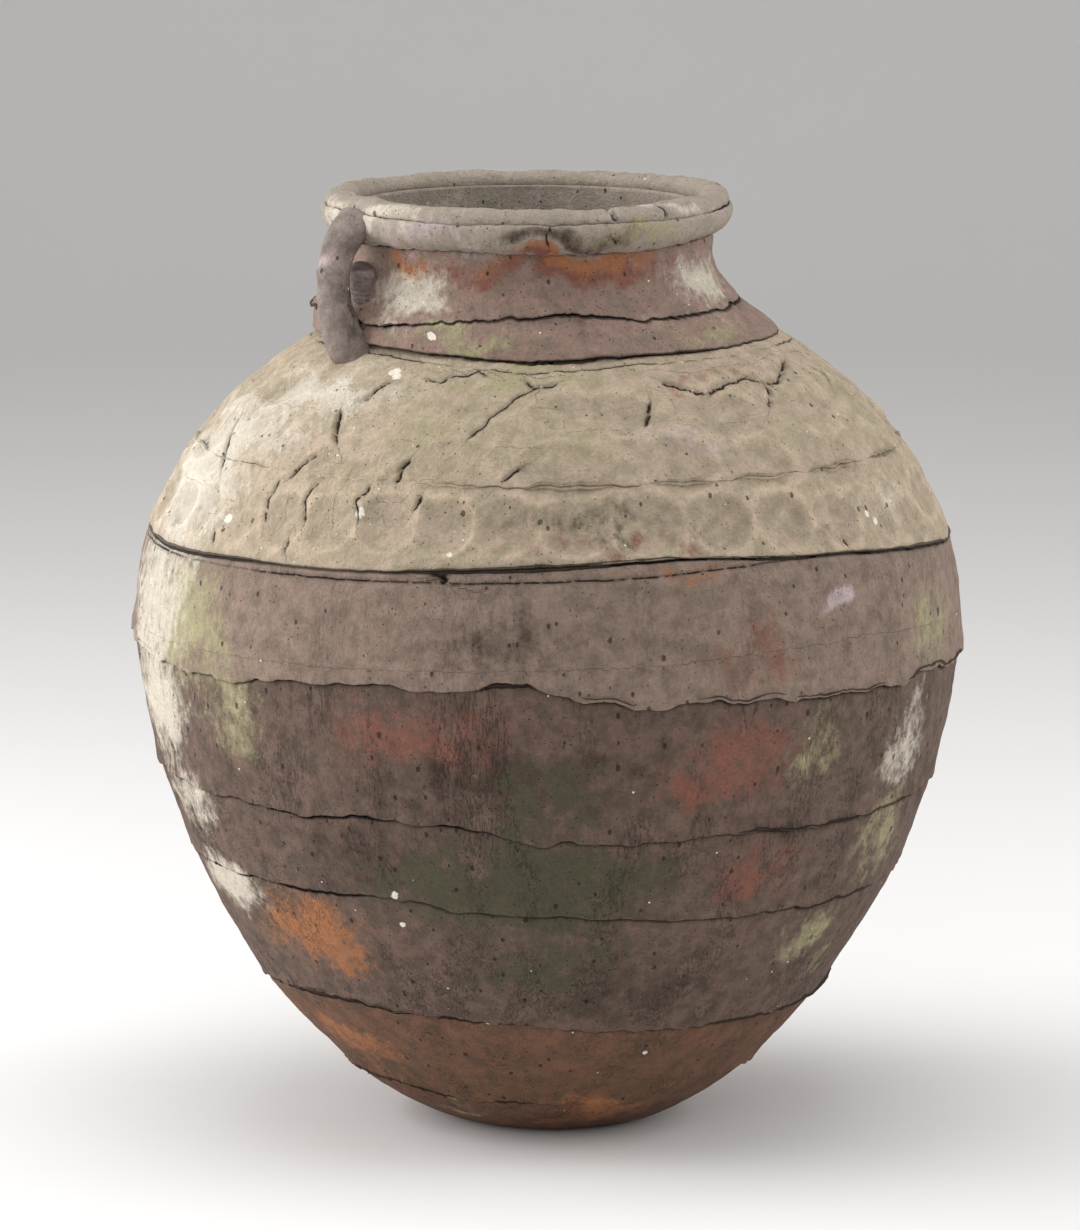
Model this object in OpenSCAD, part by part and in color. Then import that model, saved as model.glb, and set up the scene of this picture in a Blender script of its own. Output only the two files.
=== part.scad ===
// Coil-built stoneware storage jar, standing upright, all sizes in millimetres.
// The origin is the centre of the foot, +Z is up and the front faces -Y.
// The jar is a stack of hand-laid clay courses. Each course is a ring of the wall,
// and its lower edge laps outside the course below it along a bevelled seam.

/* [Body] */
// Diameter of the body's curve at the belly, without the swelling of its courses
belly_d = 536; // [420:1:640]
// Diameter at which the flat foot cuts off the body's curve
foot_d = 134; // [90:1:200]
// How far the foot's edge is worn round
foot_edge = 5; // [2:0.5:8]
// Outside diameter of the shoulder where the neck root sits on it
shoulder_top_d = 302; // [260:1:340]
// Thickness of the fired wall, square to its surface
wall = 12; // [9:0.5:15]
// Thickness of the floor inside the foot
floor_t = 20; // [14:0.5:26]
// How the lower flank bends, a lower value is fuller near the foot
lower_bend = 1.6; // [1.4:0.05:1.9]
// How round the lower flank is, a higher value is fuller near the belly
lower_round = 2.1; // [1.8:0.05:2.4]

/* [Courses] */
// Height of the pinched bowl that starts the jar
base_bowl_h = 33; // [30:1:50]
// Height of the first course above the bowl
foot_course_h = 60; // [45:1:80]
// Height of the second course
lower_course_h = 82; // [60:1:100]
// Height of the third course
middle_course_h = 50; // [40:1:70]
// Height of the fourth course, below the belly
wall_course_h = 93; // [70:1:110]
// Height of the course that holds the widest part of the belly
belly_course_h = 77; // [60:1:95]
// Height of the widest point above the belly course's lower edge
belly_peak_h = 11; // [5:1:25]
// Height of the lower shoulder course, which holds the thumb-sized dents
shoulder_lower_h = 50; // [46:1:60]
// Height of the upper shoulder course, which holds the two palm-sized rows of dents
shoulder_upper_h = 67; // [60:1:76]
// How much higher a seam lies inside the wall than outside
lap = 10; // [6:1:14]
// How far each course stands proud of the one below at their seam
lap_step = 2.5; // [1:0.25:4]
// Height over which that swelling fades into the wall
lap_fade = 26; // [15:1:34]

/* [Dents] */
// Number of dents in the lower row
dent_low_count = 36; // [30:1:40]
// Width of a dent in the lower row
dent_low_w = 45; // [34:1:50]
// Depth of a dent in the lower row
dent_low_depth = 4.5; // [2:0.25:6]
// Height of the lower row's centre above its course's lower edge
dent_low_z = 27; // [24:1:30]
// Number of dents in the middle row
dent_mid_count = 20; // [16:1:24]
// Width of a dent in the middle row
dent_mid_w = 56; // [40:1:58]
// Depth of a dent in the middle row
dent_mid_depth = 3.5; // [1.5:0.25:5]
// Height of the middle row's centre above the upper shoulder's lower edge
dent_mid_z = 23; // [21:1:26]
// Number of dents in the top row
dent_top_count = 18; // [14:1:22]
// Width of a dent in the top row
dent_top_w = 46; // [34:1:50]
// Depth of a dent in the top row
dent_top_depth = 3; // [1.5:0.25:4]
// Height of the top row's centre above the upper shoulder's lower edge
dent_top_z = 47; // [44:1:50]

/* [Neck] */
// Sideways offset of the neck's axis from the body's axis, towards -X
neck_offset = 13; // [0:0.5:18]
// Height of the sloping root between the shoulder and the neck
neck_root_h = 23; // [16:1:30]
// Height of the neck collar
neck_h = 43; // [40:1:60]
// How far the narrow part of the neck lies inside the shoulder's top edge
neck_inset = 32; // [26:0.5:40]
// Narrow ledge left where the root's two cones meet the shoulder and the collar
root_ledge = 2; // [1:0.5:4]
// Thickness of the neck round the throat, at its narrowest
neck_wall = 12; // [9:0.5:16]
// How far the neck's foot flares out beyond its narrowest radius
neck_flare = 18; // [10:1:22]
// Height over which the neck's foot flares
neck_flare_h = 31; // [20:1:36]

/* [Rim] */
// Height of the roll round the top of the neck
rim_roll_h = 19; // [14:0.5:24]
// How far the roll stands out beyond the neck
rim_roll_out = 14; // [8:0.5:18]
// Height of the lip roll on top of it
lip_h = 9; // [6:0.5:12]
// How far the lip's outer edge stays inside the roll's outer edge
lip_inset = 3; // [1:0.5:6]
// Thickness of the lip at its seat, across the ring
lip_w = 20; // [14:0.5:22]

/* [Lug] */
// Angle of the lug from the front, towards the left
lug_angle = 55; // [40:1:80]
// Diameter of the clay roll that the lug is bent from
lug_d = 23; // [16:0.5:26]
// Radius of the lug's bow, along the middle of the roll
lug_bow_r = 59.5; // [50:0.5:70]
// Clear width of the loop between the lug and the narrow part of the neck
lug_gap = 21; // [16:0.5:26]
// Height of the bow's centre above the neck collar's foot
lug_bow_z = 9; // [4:0.5:14]
// Diameter of the thickened foot of the lug
lug_foot_d = 29; // [24:0.5:34]
// Angle of the broken stump behind the lug, from the front towards the left
stump_angle = 60; // [50:1:70]
// Diameter of the stump
stump_d = 17; // [12:0.5:20]
// Height of the stump's rounded top above the neck collar's foot
stump_h = 31; // [22:1:33]
// How far the stump stands out from the narrow part of the neck
stump_out = 12; // [8:0.5:14]

/* [Hidden] */

// Fineness of round cuts
$fn = 96;
// Number of straight pieces along a course's outer face, and along its inner face
OUTER_STEPS = 9;
INNER_STEPS = 5;
// Number of straight pieces along a short curve, such as a roll's edge
CURVE_STEPS = 8;
// Step used to find the slope of the body's outline
SLOPE_STEP = 0.5;
// Power of the curve that shapes the neck's flare
FLARE_POWER = 1.8;
// Share of the neck root's height by which the lug's thick foot lies below the collar
LUG_FOOT_SINK = 0.6;
// Extra length of a cut past the faces that it opens
CUT = 1;
// Share of the roll's height where it is widest
ROLL_PEAK = 0.78;

belly_r = belly_d / 2;
foot_r = foot_d / 2;
shoulder_top_r = shoulder_top_d / 2;
neck_r = shoulder_top_r - neck_inset;
throat_r = neck_r - neck_wall;
neck_foot_r = neck_r + neck_flare;
rim_r = neck_r + rim_roll_out;
lip_r = rim_r - lip_inset;

// Heights of the seams, from the foot up
foot_course_z = base_bowl_h;
lower_course_z = foot_course_z + foot_course_h;
middle_course_z = lower_course_z + lower_course_h;
wall_course_z = middle_course_z + middle_course_h;
belly_course_z = wall_course_z + wall_course_h;
shoulder_lower_z = belly_course_z + belly_course_h;
shoulder_upper_z = shoulder_lower_z + shoulder_lower_h;
neck_root_z = shoulder_upper_z + shoulder_upper_h;
neck_z = neck_root_z + neck_root_h;
rim_z = neck_z + neck_h;
lip_z = rim_z + rim_roll_h;
belly_z = belly_course_z + belly_peak_h;

// Half height of the ellipse that shapes the shoulder, set so that it ends at the neck root
shoulder_rise = (neck_root_z - belly_z) / sqrt(1 - pow(shoulder_top_r / belly_r, 2));

// Share of the lower flank's curve that lies above the cut of the foot
flank_share = pow(1 - pow(foot_r / belly_r, lower_round), 1 / lower_bend);

// Outside radius of the lower flank at height z, a rounded power curve that meets the foot
function lower_r(z) =
    belly_r * pow(1 - pow(flank_share * (belly_z - z) / belly_z, lower_bend), 1 / lower_round);

// Outside radius of the shoulder at height z
function upper_r(z) = belly_r * sqrt(1 - pow((z - belly_z) / shoulder_rise, 2));

// Outside radius of the whole body at height z
function body_r(z) = z >= belly_z ? upper_r(z) : lower_r(z);

// Change of the outside radius with height
function body_slope(z) =
    (body_r(z + SLOPE_STEP) - body_r(z - SLOPE_STEP)) / (2 * SLOPE_STEP);

// Outward direction, as radius and height, square to the wall
function body_normal(z) = [1, -body_slope(z)] / norm([1, body_slope(z)]);

// Point on the outline, and the point on the inner face that lies behind it
function outer_point(z) = [body_r(z), z];
function inner_point(z) = outer_point(z) - wall * body_normal(z);

// Swelling of a course near its lower edge
function swell(z, low) = lap_step * pow(max(1 - (z - low) / lap_fade, 0), 2);

// Evenly spaced values from a to b
function spread(a, b, steps) = [for (i = [0:steps]) a + (b - a) * i / steps];

// Points of a quarter-like arc about a centre, from one angle to another
function arc(centre, rx, ry, from, to) =
    [for (a = spread(from, to, CURVE_STEPS)) centre + [rx * cos(a), ry * sin(a)]];

// Ring of the wall between two seams, each sloping up inwards by the lap
module course(low, high) {
    outer = [for (z = spread(low, high, OUTER_STEPS)) [body_r(z) + swell(z, low), z]];
    inner = [for (z = spread(high + lap, low + lap, INNER_STEPS)) inner_point(z)];
    rotate_extrude()
        polygon(concat([outer_point(low)], outer, inner));
}

// One ring of round dents pressed square into the shoulder, centred at height z
module dent_row(count, z, width, depth, turn) {
    ball_r = (pow(width / 2, 2) + pow(depth, 2)) / (2 * depth);
    centre = outer_point(z) + (ball_r - depth) * body_normal(z);
    for (i = [0:count - 1])
        rotate([0, 0, turn + i * 360 / count])
            translate([centre.x, 0, centre.y])
                sphere(r = ball_r);
}

// Places its children about the neck's own axis, at a height
module on_neck_axis(z = 0) {
    translate([-neck_offset, 0, z])
        children();
}

// Turns the +X direction to an angle measured from the front towards the left
module towards(angle) {
    rotate([0, 0, 270 - angle])
        children();
}

// Foot and first bowl of the jar, with a flat floor inside
module base_bowl() {
    outer = [for (z = spread(foot_edge / 2, foot_course_z, OUTER_STEPS)) outer_point(z)];
    inner = [for (z = spread(foot_course_z + lap, 0, OUTER_STEPS)) inner_point(z)];
    clipped = [for (p = inner) if (p.y > floor_t + 1) p];
    last = clipped[len(clipped) - 1];
    color("saddlebrown")
        rotate_extrude()
            polygon(concat([[0, 0], [foot_r - foot_edge, 0]], outer, clipped,
                [[last.x - wall, floor_t], [0, floor_t]]));
}

module foot_course() {
    color("dimgray")
        course(foot_course_z, lower_course_z);
}

module lower_course() {
    color("darkolivegreen")
        course(lower_course_z, middle_course_z);
}

module middle_course() {
    color("gray")
        course(middle_course_z, wall_course_z);
}

module wall_course() {
    color("sienna")
        course(wall_course_z, belly_course_z);
}

module belly_course() {
    color("rosybrown")
        course(belly_course_z, shoulder_lower_z);
}

// Shoulder course with the row of thumb-sized dents
module shoulder_lower_course() {
    color("tan")
        difference() {
            course(shoulder_lower_z, shoulder_upper_z);
            dent_row(dent_low_count, shoulder_lower_z + dent_low_z, dent_low_w, dent_low_depth, 0);
        }
}

// Outline of the upper shoulder's outer face
function shoulder_upper_outer() = concat([outer_point(shoulder_upper_z)],
    [for (z = spread(shoulder_upper_z, neck_root_z, OUTER_STEPS))
        [body_r(z) + swell(z, shoulder_upper_z), z]]);

// Upper shoulder without the hollow under it
module shoulder_upper_solid() {
    rotate_extrude()
        polygon(concat([[0, shoulder_upper_z]], shoulder_upper_outer(), [[0, neck_root_z]]));
}

// Plain ring of the upper shoulder, cut level at the top as the neck's seat
module shoulder_upper_ring() {
    inner = [for (z = spread(neck_root_z + wall, shoulder_upper_z + lap, INNER_STEPS))
        [inner_point(z).x, min(inner_point(z).y, neck_root_z)]];
    rotate_extrude()
        polygon(concat(shoulder_upper_outer(), inner));
}

// Shoulder course with two staggered rows of palm-sized dents
module shoulder_upper_course() {
    mid_z = shoulder_upper_z + dent_mid_z;
    top_z = shoulder_upper_z + dent_top_z;
    color("khaki")
        difference() {
            shoulder_upper_ring();
            dent_row(dent_mid_count, mid_z, dent_mid_w, dent_mid_depth, 180 / dent_mid_count);
            dent_row(dent_top_count, top_z, dent_top_w, dent_top_depth, 0);
        }
}

// Root of the neck without its hole, a cone about each axis, so that it leans from one to the other
module neck_root_solid() {
    translate([0, 0, neck_root_z])
        cylinder(r1 = shoulder_top_r, r2 = neck_foot_r - neck_offset + root_ledge, h = neck_root_h);
    on_neck_axis(neck_root_z)
        cylinder(r1 = shoulder_top_r - neck_offset + root_ledge, r2 = neck_foot_r, h = neck_root_h);
}

// Leaning ring that carries the neck from the body's axis over to its own
module neck_root() {
    seat_r = inner_point(neck_root_z + wall).x;
    color("peru")
        difference() {
            neck_root_solid();
            translate([0, 0, neck_root_z])
                cylinder(r1 = seat_r, r2 = throat_r - neck_offset - root_ledge, h = neck_root_h);
            on_neck_axis(neck_root_z - CUT)
                cylinder(r = throat_r, h = neck_root_h + 2 * CUT);
        }
}

// Neck without its throat, flared at the foot
module neck_solid() {
    flare = [for (t = spread(0, 1, CURVE_STEPS))
        [neck_r + neck_flare * pow(1 - t, FLARE_POWER), neck_flare_h * t]];
    on_neck_axis(neck_z)
        rotate_extrude()
            polygon(concat([[0, 0]], flare, [[neck_r, neck_h], [0, neck_h]]));
}

// Neck with the straight throat inside
module neck_collar() {
    color("rosybrown")
        difference() {
            neck_solid();
            on_neck_axis(neck_z - CUT)
                cylinder(r = throat_r, h = neck_h + 2 * CUT);
        }
}

// Roll round the top of the neck without its hole, widest above its middle
module rim_solid() {
    peak = rim_roll_h * ROLL_PEAK;
    under = arc([neck_r, peak], rim_roll_out, peak, -90, 0);
    over = arc([lip_r, peak], lip_inset, rim_roll_h - peak, 0, 90);
    on_neck_axis(rim_z)
        rotate_extrude()
            polygon(concat([[0, 0]], under, over, [[0, rim_roll_h]]));
}

// Roll of clay round the top of the neck
module rim_roll() {
    color("darkgray")
        difference() {
            rim_solid();
            on_neck_axis(rim_z - CUT)
                cylinder(r = throat_r, h = rim_roll_h + 2 * CUT);
        }
}

// Rounded lip laid on the roll
module lip_roll() {
    color("lightgray")
        on_neck_axis(lip_z)
            rotate_extrude()
                polygon(arc([lip_r - lip_w / 2, 0], lip_w / 2, lip_h, 0, 180));
}

// Everything that the lug and its stump are pressed against, without the hollow
module lug_neighbours() {
    shoulder_upper_solid();
    neck_root_solid();
    neck_solid();
    rim_solid();
}

// Places its children on the bow's circle, turned up from the level line by an angle
module on_lug_bow(angle) {
    on_neck_axis(neck_z + lug_bow_z)
        towards(lug_angle)
            translate([neck_r + lug_gap + lug_d / 2 - lug_bow_r, 0, 0])
                rotate([90, 0, 0])
                    rotate([0, 0, angle])
                        children();
}

// Bowed clay roll from under the rim down to the shoulder, with a thick foot
module lug_strap() {
    foot_turn = asin((lug_bow_z + neck_root_h * LUG_FOOT_SINK) / lug_bow_r);
    root_turn = asin((lug_bow_z + neck_root_h) / lug_bow_r);
    top_turn = asin((neck_h - lug_bow_z + rim_roll_h / 2) / lug_bow_r);
    color("dimgray")
        difference() {
            union() {
                on_lug_bow(-root_turn)
                    rotate_extrude(angle = root_turn + top_turn)
                        translate([lug_bow_r, 0])
                            circle(d = lug_d);
                on_lug_bow(-foot_turn)
                    translate([lug_bow_r, 0, 0])
                        sphere(d = lug_foot_d);
            }
            lug_neighbours();
        }
}

// Round-topped stump of an older lug, fused to the neck behind the present one
module lug_stump() {
    top_z = stump_h - stump_d / 2;
    color("silver")
        difference() {
            on_neck_axis(neck_z)
                towards(stump_angle)
                    translate([neck_r + stump_out - stump_d / 2, 0, 0]) {
                        cylinder(d = stump_d, h = top_z);
                        translate([0, 0, top_z])
                            sphere(d = stump_d);
                    }
            lug_neighbours();
        }
}

base_bowl();
foot_course();
lower_course();
middle_course();
wall_course();
belly_course();
shoulder_lower_course();
shoulder_upper_course();
neck_root();
neck_collar();
rim_roll();
lip_roll();
lug_strap();
lug_stump();
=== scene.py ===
import logging
import math
from dataclasses import dataclass, field
from enum import Enum

import bpy
import numpy as np
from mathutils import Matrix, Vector


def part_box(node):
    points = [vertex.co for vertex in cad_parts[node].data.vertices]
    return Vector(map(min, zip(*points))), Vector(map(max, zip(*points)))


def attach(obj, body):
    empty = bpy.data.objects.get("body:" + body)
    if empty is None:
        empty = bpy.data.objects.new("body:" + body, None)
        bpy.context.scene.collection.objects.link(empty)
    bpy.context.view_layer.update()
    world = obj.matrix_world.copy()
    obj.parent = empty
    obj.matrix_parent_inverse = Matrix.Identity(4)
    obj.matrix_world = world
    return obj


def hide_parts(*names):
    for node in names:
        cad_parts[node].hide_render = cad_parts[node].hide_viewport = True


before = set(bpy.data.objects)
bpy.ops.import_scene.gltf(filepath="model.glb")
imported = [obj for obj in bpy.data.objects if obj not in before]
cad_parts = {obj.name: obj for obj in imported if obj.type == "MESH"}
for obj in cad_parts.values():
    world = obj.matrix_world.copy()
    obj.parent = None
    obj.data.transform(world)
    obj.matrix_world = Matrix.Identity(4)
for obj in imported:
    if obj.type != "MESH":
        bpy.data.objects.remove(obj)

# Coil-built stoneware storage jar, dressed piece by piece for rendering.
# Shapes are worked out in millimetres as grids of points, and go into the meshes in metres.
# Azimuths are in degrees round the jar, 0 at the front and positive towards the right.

LOG = logging.getLogger("storage_jar")
MM = 0.001
FAR = 60.0
LINE_REACH = 6.0


# ---------------------------------------------------------------- plain helpers


def tone(red: int, green: int, blue: int) -> tuple[float, float, float, float]:
    """Turn a display colour of 0 to 255 into a linear colour with full alpha."""
    linear = [
        v / 12.92 if v <= 0.04045 else ((v + 0.055) / 1.055) ** 2.4
        for v in (red / 255, green / 255, blue / 255)
    ]
    return (linear[0], linear[1], linear[2], 1.0)


def ease(low: float, high: float, value: np.ndarray) -> np.ndarray:
    """Rise smoothly from 0 at low to 1 at high: t squared times (3 - 2t)."""
    t = np.clip((value - low) / (high - low), 0.0, 1.0)
    return t * t * (3.0 - 2.0 * t)


def turn_between(azimuth: np.ndarray, centre: float) -> np.ndarray:
    """Shortest turn in degrees from centre to azimuth, between -180 and 180."""
    return (azimuth - centre + 180.0) % 360.0 - 180.0


class Clay:
    """Lumpy noise of hand-worked clay, the same every time."""

    @staticmethod
    def _corner(ix: np.ndarray, iy: np.ndarray, iz: np.ndarray, seed: int) -> np.ndarray:
        """Mix three lattice numbers and a seed into one well-stirred integer."""
        mixed = (
            ix * np.uint32(0x8DA6B343)
            ^ iy * np.uint32(0xD8163841)
            ^ iz * np.uint32(0xCB1AB31F)
            ^ np.uint32((seed * 0x9E3779B1) & 0xFFFFFFFF)
        )
        mixed = (mixed ^ (mixed >> np.uint32(15))) * np.uint32(0x2C1B3C6D)
        mixed = (mixed ^ (mixed >> np.uint32(12))) * np.uint32(0x297A2D39)
        return mixed ^ (mixed >> np.uint32(15))

    @classmethod
    def lumps(cls, point: np.ndarray, size: float, seed: int) -> np.ndarray:
        """Smooth noise of one size, about -1 to 1.

        Each corner of a lattice cell has a random slope. The value is the slope's
        height at the point, blended between the eight corners by a quintic curve.

        Args:
            point: places in mm, shape (..., 3).
            size: distance between lattice corners in mm.
            seed: number of the pattern.

        Returns:
            One value for each place.
        """
        place = point.reshape(-1, 3) / size + 512.37
        cell = np.floor(place)
        part = place - cell
        whole = cell.astype(np.int64).astype(np.uint32)
        blend = part**3 * (part * (part * 6.0 - 15.0) + 10.0)
        total = np.zeros(len(place))
        for dx in (0, 1):
            for dy in (0, 1):
                for dz in (0, 1):
                    mixed = cls._corner(
                        whole[:, 0] + np.uint32(dx),
                        whole[:, 1] + np.uint32(dy),
                        whole[:, 2] + np.uint32(dz),
                        seed,
                    )
                    slope_x = (mixed & np.uint32(1023)) / 511.5 - 1.0
                    slope_y = ((mixed >> np.uint32(10)) & np.uint32(1023)) / 511.5 - 1.0
                    slope_z = ((mixed >> np.uint32(20)) & np.uint32(1023)) / 511.5 - 1.0
                    height = (
                        slope_x * (part[:, 0] - dx)
                        + slope_y * (part[:, 1] - dy)
                        + slope_z * (part[:, 2] - dz)
                    )
                    weight = (
                        (blend[:, 0] if dx else 1.0 - blend[:, 0])
                        * (blend[:, 1] if dy else 1.0 - blend[:, 1])
                        * (blend[:, 2] if dz else 1.0 - blend[:, 2])
                    )
                    total += weight * height
        return (total * 1.6).reshape(point.shape[:-1])

    @classmethod
    def layered(cls, point: np.ndarray, size: float, seed: int, layers: int = 3) -> np.ndarray:
        """Sum of lumps, each layer half the size and half the height of the last."""
        total = np.zeros(point.shape[:-1])
        for layer in range(layers):
            total += cls.lumps(point, size / 2**layer, seed + layer) / 2**layer
        return total


@dataclass(frozen=True)
class Span:
    """Lowest and highest corner of a CAD node, in millimetres."""

    low: np.ndarray
    high: np.ndarray

    @classmethod
    def of(cls, node: str) -> "Span":
        """Read a node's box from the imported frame."""
        low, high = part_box(node)
        return cls(np.array(low) / MM, np.array(high) / MM)

    @property
    def foot(self) -> float:
        """Height of the node's lowest point."""
        return float(self.low[2])

    @property
    def top(self) -> float:
        """Height of the node's highest point."""
        return float(self.high[2])

    @property
    def radius(self) -> float:
        """Half of the node's depth from front to back."""
        return float(self.high[1] - self.low[1]) / 2.0

    @property
    def axis_x(self) -> float:
        """Sideways place of the node's middle."""
        return float(self.high[0] + self.low[0]) / 2.0


# ---------------------------------------------------------------- outline and joints


@dataclass(frozen=True)
class BodyOutline:
    """Outside curve of the jar's body, in millimetres.

    Below the belly the radius is belly times (1 - (share * depth)^bend)^(1/roundness).
    Above it the outline is an ellipse that ends at the neck root.
    """

    belly_r: float
    belly_z: float
    top_r: float
    top_z: float
    foot_r: float = 67.0
    bend: float = 1.6
    roundness: float = 2.1

    def radius(self, z: np.ndarray) -> np.ndarray:
        """Outside radius at each height."""
        rise = (self.top_z - self.belly_z) / math.sqrt(1.0 - (self.top_r / self.belly_r) ** 2)
        share = (1.0 - (self.foot_r / self.belly_r) ** self.roundness) ** (1.0 / self.bend)
        above = np.sqrt(np.clip(1.0 - ((z - self.belly_z) / rise) ** 2, 0.0, 1.0))
        depth = np.clip(share * (self.belly_z - z) / self.belly_z, 0.0, 1.0)
        below = np.clip(1.0 - depth**self.bend, 0.0, 1.0) ** (1.0 / self.roundness)
        return self.belly_r * np.where(z >= self.belly_z, above, below)

    def slope(self, z: np.ndarray) -> np.ndarray:
        """Change of radius with height."""
        return self.radius(z + 0.5) - self.radius(z - 0.5)

    def inside(self, z: np.ndarray, wall: float) -> tuple[np.ndarray, np.ndarray]:
        """Radius and height of the inner face, square behind each height of the outer one."""
        slope = self.slope(z)
        length = np.sqrt(1.0 + slope**2)
        return self.radius(z) - wall / length, z + wall * slope / length


@dataclass(frozen=True)
class Joint:
    """Wavy height of a joint between two pieces, round the jar.

    Attributes:
        height: height of the joint in the CAD model, in mm.
        knots: given places (azimuth, rise in mm) that the joint passes through.
        ragged: how far the joint wanders from a smooth curve, in mm.
        step: how far the piece above stands proud, in mm.
        groove: how deep the open crack under it is, in mm.
        droop: how far its lower edge hangs over the joint, in mm.
        seed: number of its wander.
    """

    height: float
    knots: tuple[tuple[float, float], ...] = ((0.0, 0.0),)
    ragged: float = 1.2
    step: float = 1.5
    groove: float = 1.6
    droop: float = 1.2
    seed: int = 1

    def rise(self, azimuth: np.ndarray) -> np.ndarray:
        """Rise of the joint above its CAD height at each azimuth, in mm.

        The knots are joined by straight lines round the whole turn, the corners
        are softened by a bell-shaped average, and fine wander is added.
        """
        steps = 1440
        ring = np.arange(steps) * 360.0 / steps
        order = sorted((a % 360.0, r) for a, r in self.knots)
        line = np.interp(ring, [a for a, _ in order], [r for _, r in order], period=360.0)
        waves = np.fft.rfftfreq(steps, 1.0 / steps)
        soft_degrees = 1.6
        bell = np.exp(-0.5 * (waves * math.radians(soft_degrees)) ** 2)
        smooth = np.fft.irfft(np.fft.rfft(line) * bell, steps)
        along = np.interp(azimuth % 360.0, ring, smooth, period=360.0)
        return along + self.ragged * self.wander(azimuth, 16.0)

    def wander(self, azimuth: np.ndarray, size: float) -> np.ndarray:
        """Layered noise round the jar, about -1 to 1."""
        turn = np.radians(azimuth)
        nominal_r = 240.0
        place = np.stack(
            [nominal_r * np.sin(turn), nominal_r * np.cos(turn), np.full_like(turn, 31.0 * self.seed)],
            axis=-1,
        )
        return Clay.layered(place, size, self.seed)

    def at(self, azimuth: np.ndarray) -> np.ndarray:
        """Height of the joint at each azimuth, in mm."""
        return self.height + self.rise(azimuth)


@dataclass
class Skin:
    """Where the points of a grid lie on the jar, in degrees and millimetres.

    Attributes:
        azimuth: degrees round the jar.
        height: height above the foot.
        radius: distance from the piece's axis.
        stretch: millimetres along the surface for each millimetre of height.
        point: x, y and z.
    """

    azimuth: np.ndarray
    height: np.ndarray
    radius: np.ndarray
    stretch: np.ndarray
    point: np.ndarray

    def away(self, azimuth: float, height: float) -> tuple[np.ndarray, np.ndarray]:
        """Distance sideways and upwards along the surface from one place on the jar."""
        sideways = np.radians(turn_between(self.azimuth, azimuth)) * self.radius
        return sideways, (self.height - height) * self.stretch


# ---------------------------------------------------------------- marks in the clay


@dataclass(frozen=True)
class Dent:
    """Hollow that a thumb or palm pressed into the clay.

    Depth falls from its full value as (1 - d^2)^sharp, where d is the distance from
    the centre as a share of the half width and half height, turned by the lean.
    """

    azimuth: float
    height: float
    width: float
    tall: float
    depth: float
    lean: float = 0.0
    slant: float = 0.25
    sharp: float = 0.8

    def sink(self, skin: Skin) -> np.ndarray:
        """Depth of the hollow at each point, in mm."""
        right, up = skin.away(self.azimuth, self.height)
        turn = math.radians(self.lean)
        across = (right * math.cos(turn) + up * math.sin(turn)) / (self.width / 2.0)
        along = (up * math.cos(turn) - right * math.sin(turn)) / (self.tall / 2.0)
        bowl = np.clip(1.0 - across**2 - along**2, 0.0, 1.0) ** self.sharp
        return self.depth * bowl * (1.0 + self.slant * across)


@dataclass(frozen=True)
class Crack:
    """Open crack or crease along a given route of (azimuth, height) places."""

    route: tuple[tuple[float, float], ...]
    width: float = 1.1
    depth: float = 1.8

    def reach(self, skin: Skin) -> tuple[np.ndarray, np.ndarray]:
        """Find how far each point is from the crack.

        Returns:
            Distance in crack widths, negative on one side, and how open the crack is
            there, from 0 beyond its ends to 1 in its middle.
        """
        best = np.full(skin.height.shape, FAR)
        open_share = np.zeros(skin.height.shape)
        heights = [z for _, z in self.route]
        turns = [a for a, _ in self.route]
        middle = (min(turns) + max(turns)) / 2.0
        half = (max(turns) - min(turns)) / 2.0 + 5.0
        near = (
            (np.abs(turn_between(skin.azimuth, middle)) < half)
            & (skin.height > min(heights) - 10.0)
            & (skin.height < max(heights) + 10.0)
        )
        if not near.any():
            return best, open_share
        spot = Skin(
            skin.azimuth[near], skin.height[near], skin.radius[near],
            skin.stretch[near], skin.point[near],
        )
        wobble = 1.3 * Clay.layered(spot.point, 7.0, 71)
        nearest = np.full(spot.height.shape, FAR)
        ahead = np.zeros(spot.height.shape)
        count = len(self.route) - 1
        for index in range(count):
            (turn_a, z_a), (turn_b, z_b) = self.route[index], self.route[index + 1]
            right, up = spot.away(turn_a, z_a)
            run_x = math.radians(turn_b - turn_a) * spot.radius
            run_y = (z_b - z_a) * spot.stretch
            length = np.sqrt(run_x**2 + run_y**2) + 1e-6
            along = np.clip((right * run_x + up * run_y) / length**2, 0.0, 1.0)
            side = (run_x * up - run_y * right) / length + wobble
            past = np.hypot(right - along * run_x, up - along * run_y)
            beyond = np.sqrt(np.clip(past**2 - (side - wobble) ** 2, 0.0, None))
            distance = np.hypot(side, beyond)
            better = distance < np.abs(nearest)
            sign = np.where(side < 0.0, -1.0, 1.0)
            nearest = np.where(better, distance * sign, nearest)
            ahead = np.where(better, (index + along) / count, ahead)
        ends = np.minimum(ahead, 1.0 - ahead)
        best[near] = nearest / self.width
        open_share[near] = np.clip(ends / 0.12, 0.0, 1.0) * 0.75 + 0.25
        return best, open_share


@dataclass(frozen=True)
class ScratchedLine:
    """Line drawn round the jar in the wet clay."""

    path: Joint
    width: float = 1.0
    depth: float = 1.2
    faint: float = 0.25

    def reach(self, skin: Skin) -> tuple[np.ndarray, np.ndarray]:
        """Distance in line widths, negative below the line, and how open it is there."""
        offset = (skin.height - self.path.at(skin.azimuth)) * skin.stretch
        share = ease(-0.55, 0.25, self.path.wander(skin.azimuth, 70.0))
        return offset / self.width, self.faint + (1.0 - self.faint) * share


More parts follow.
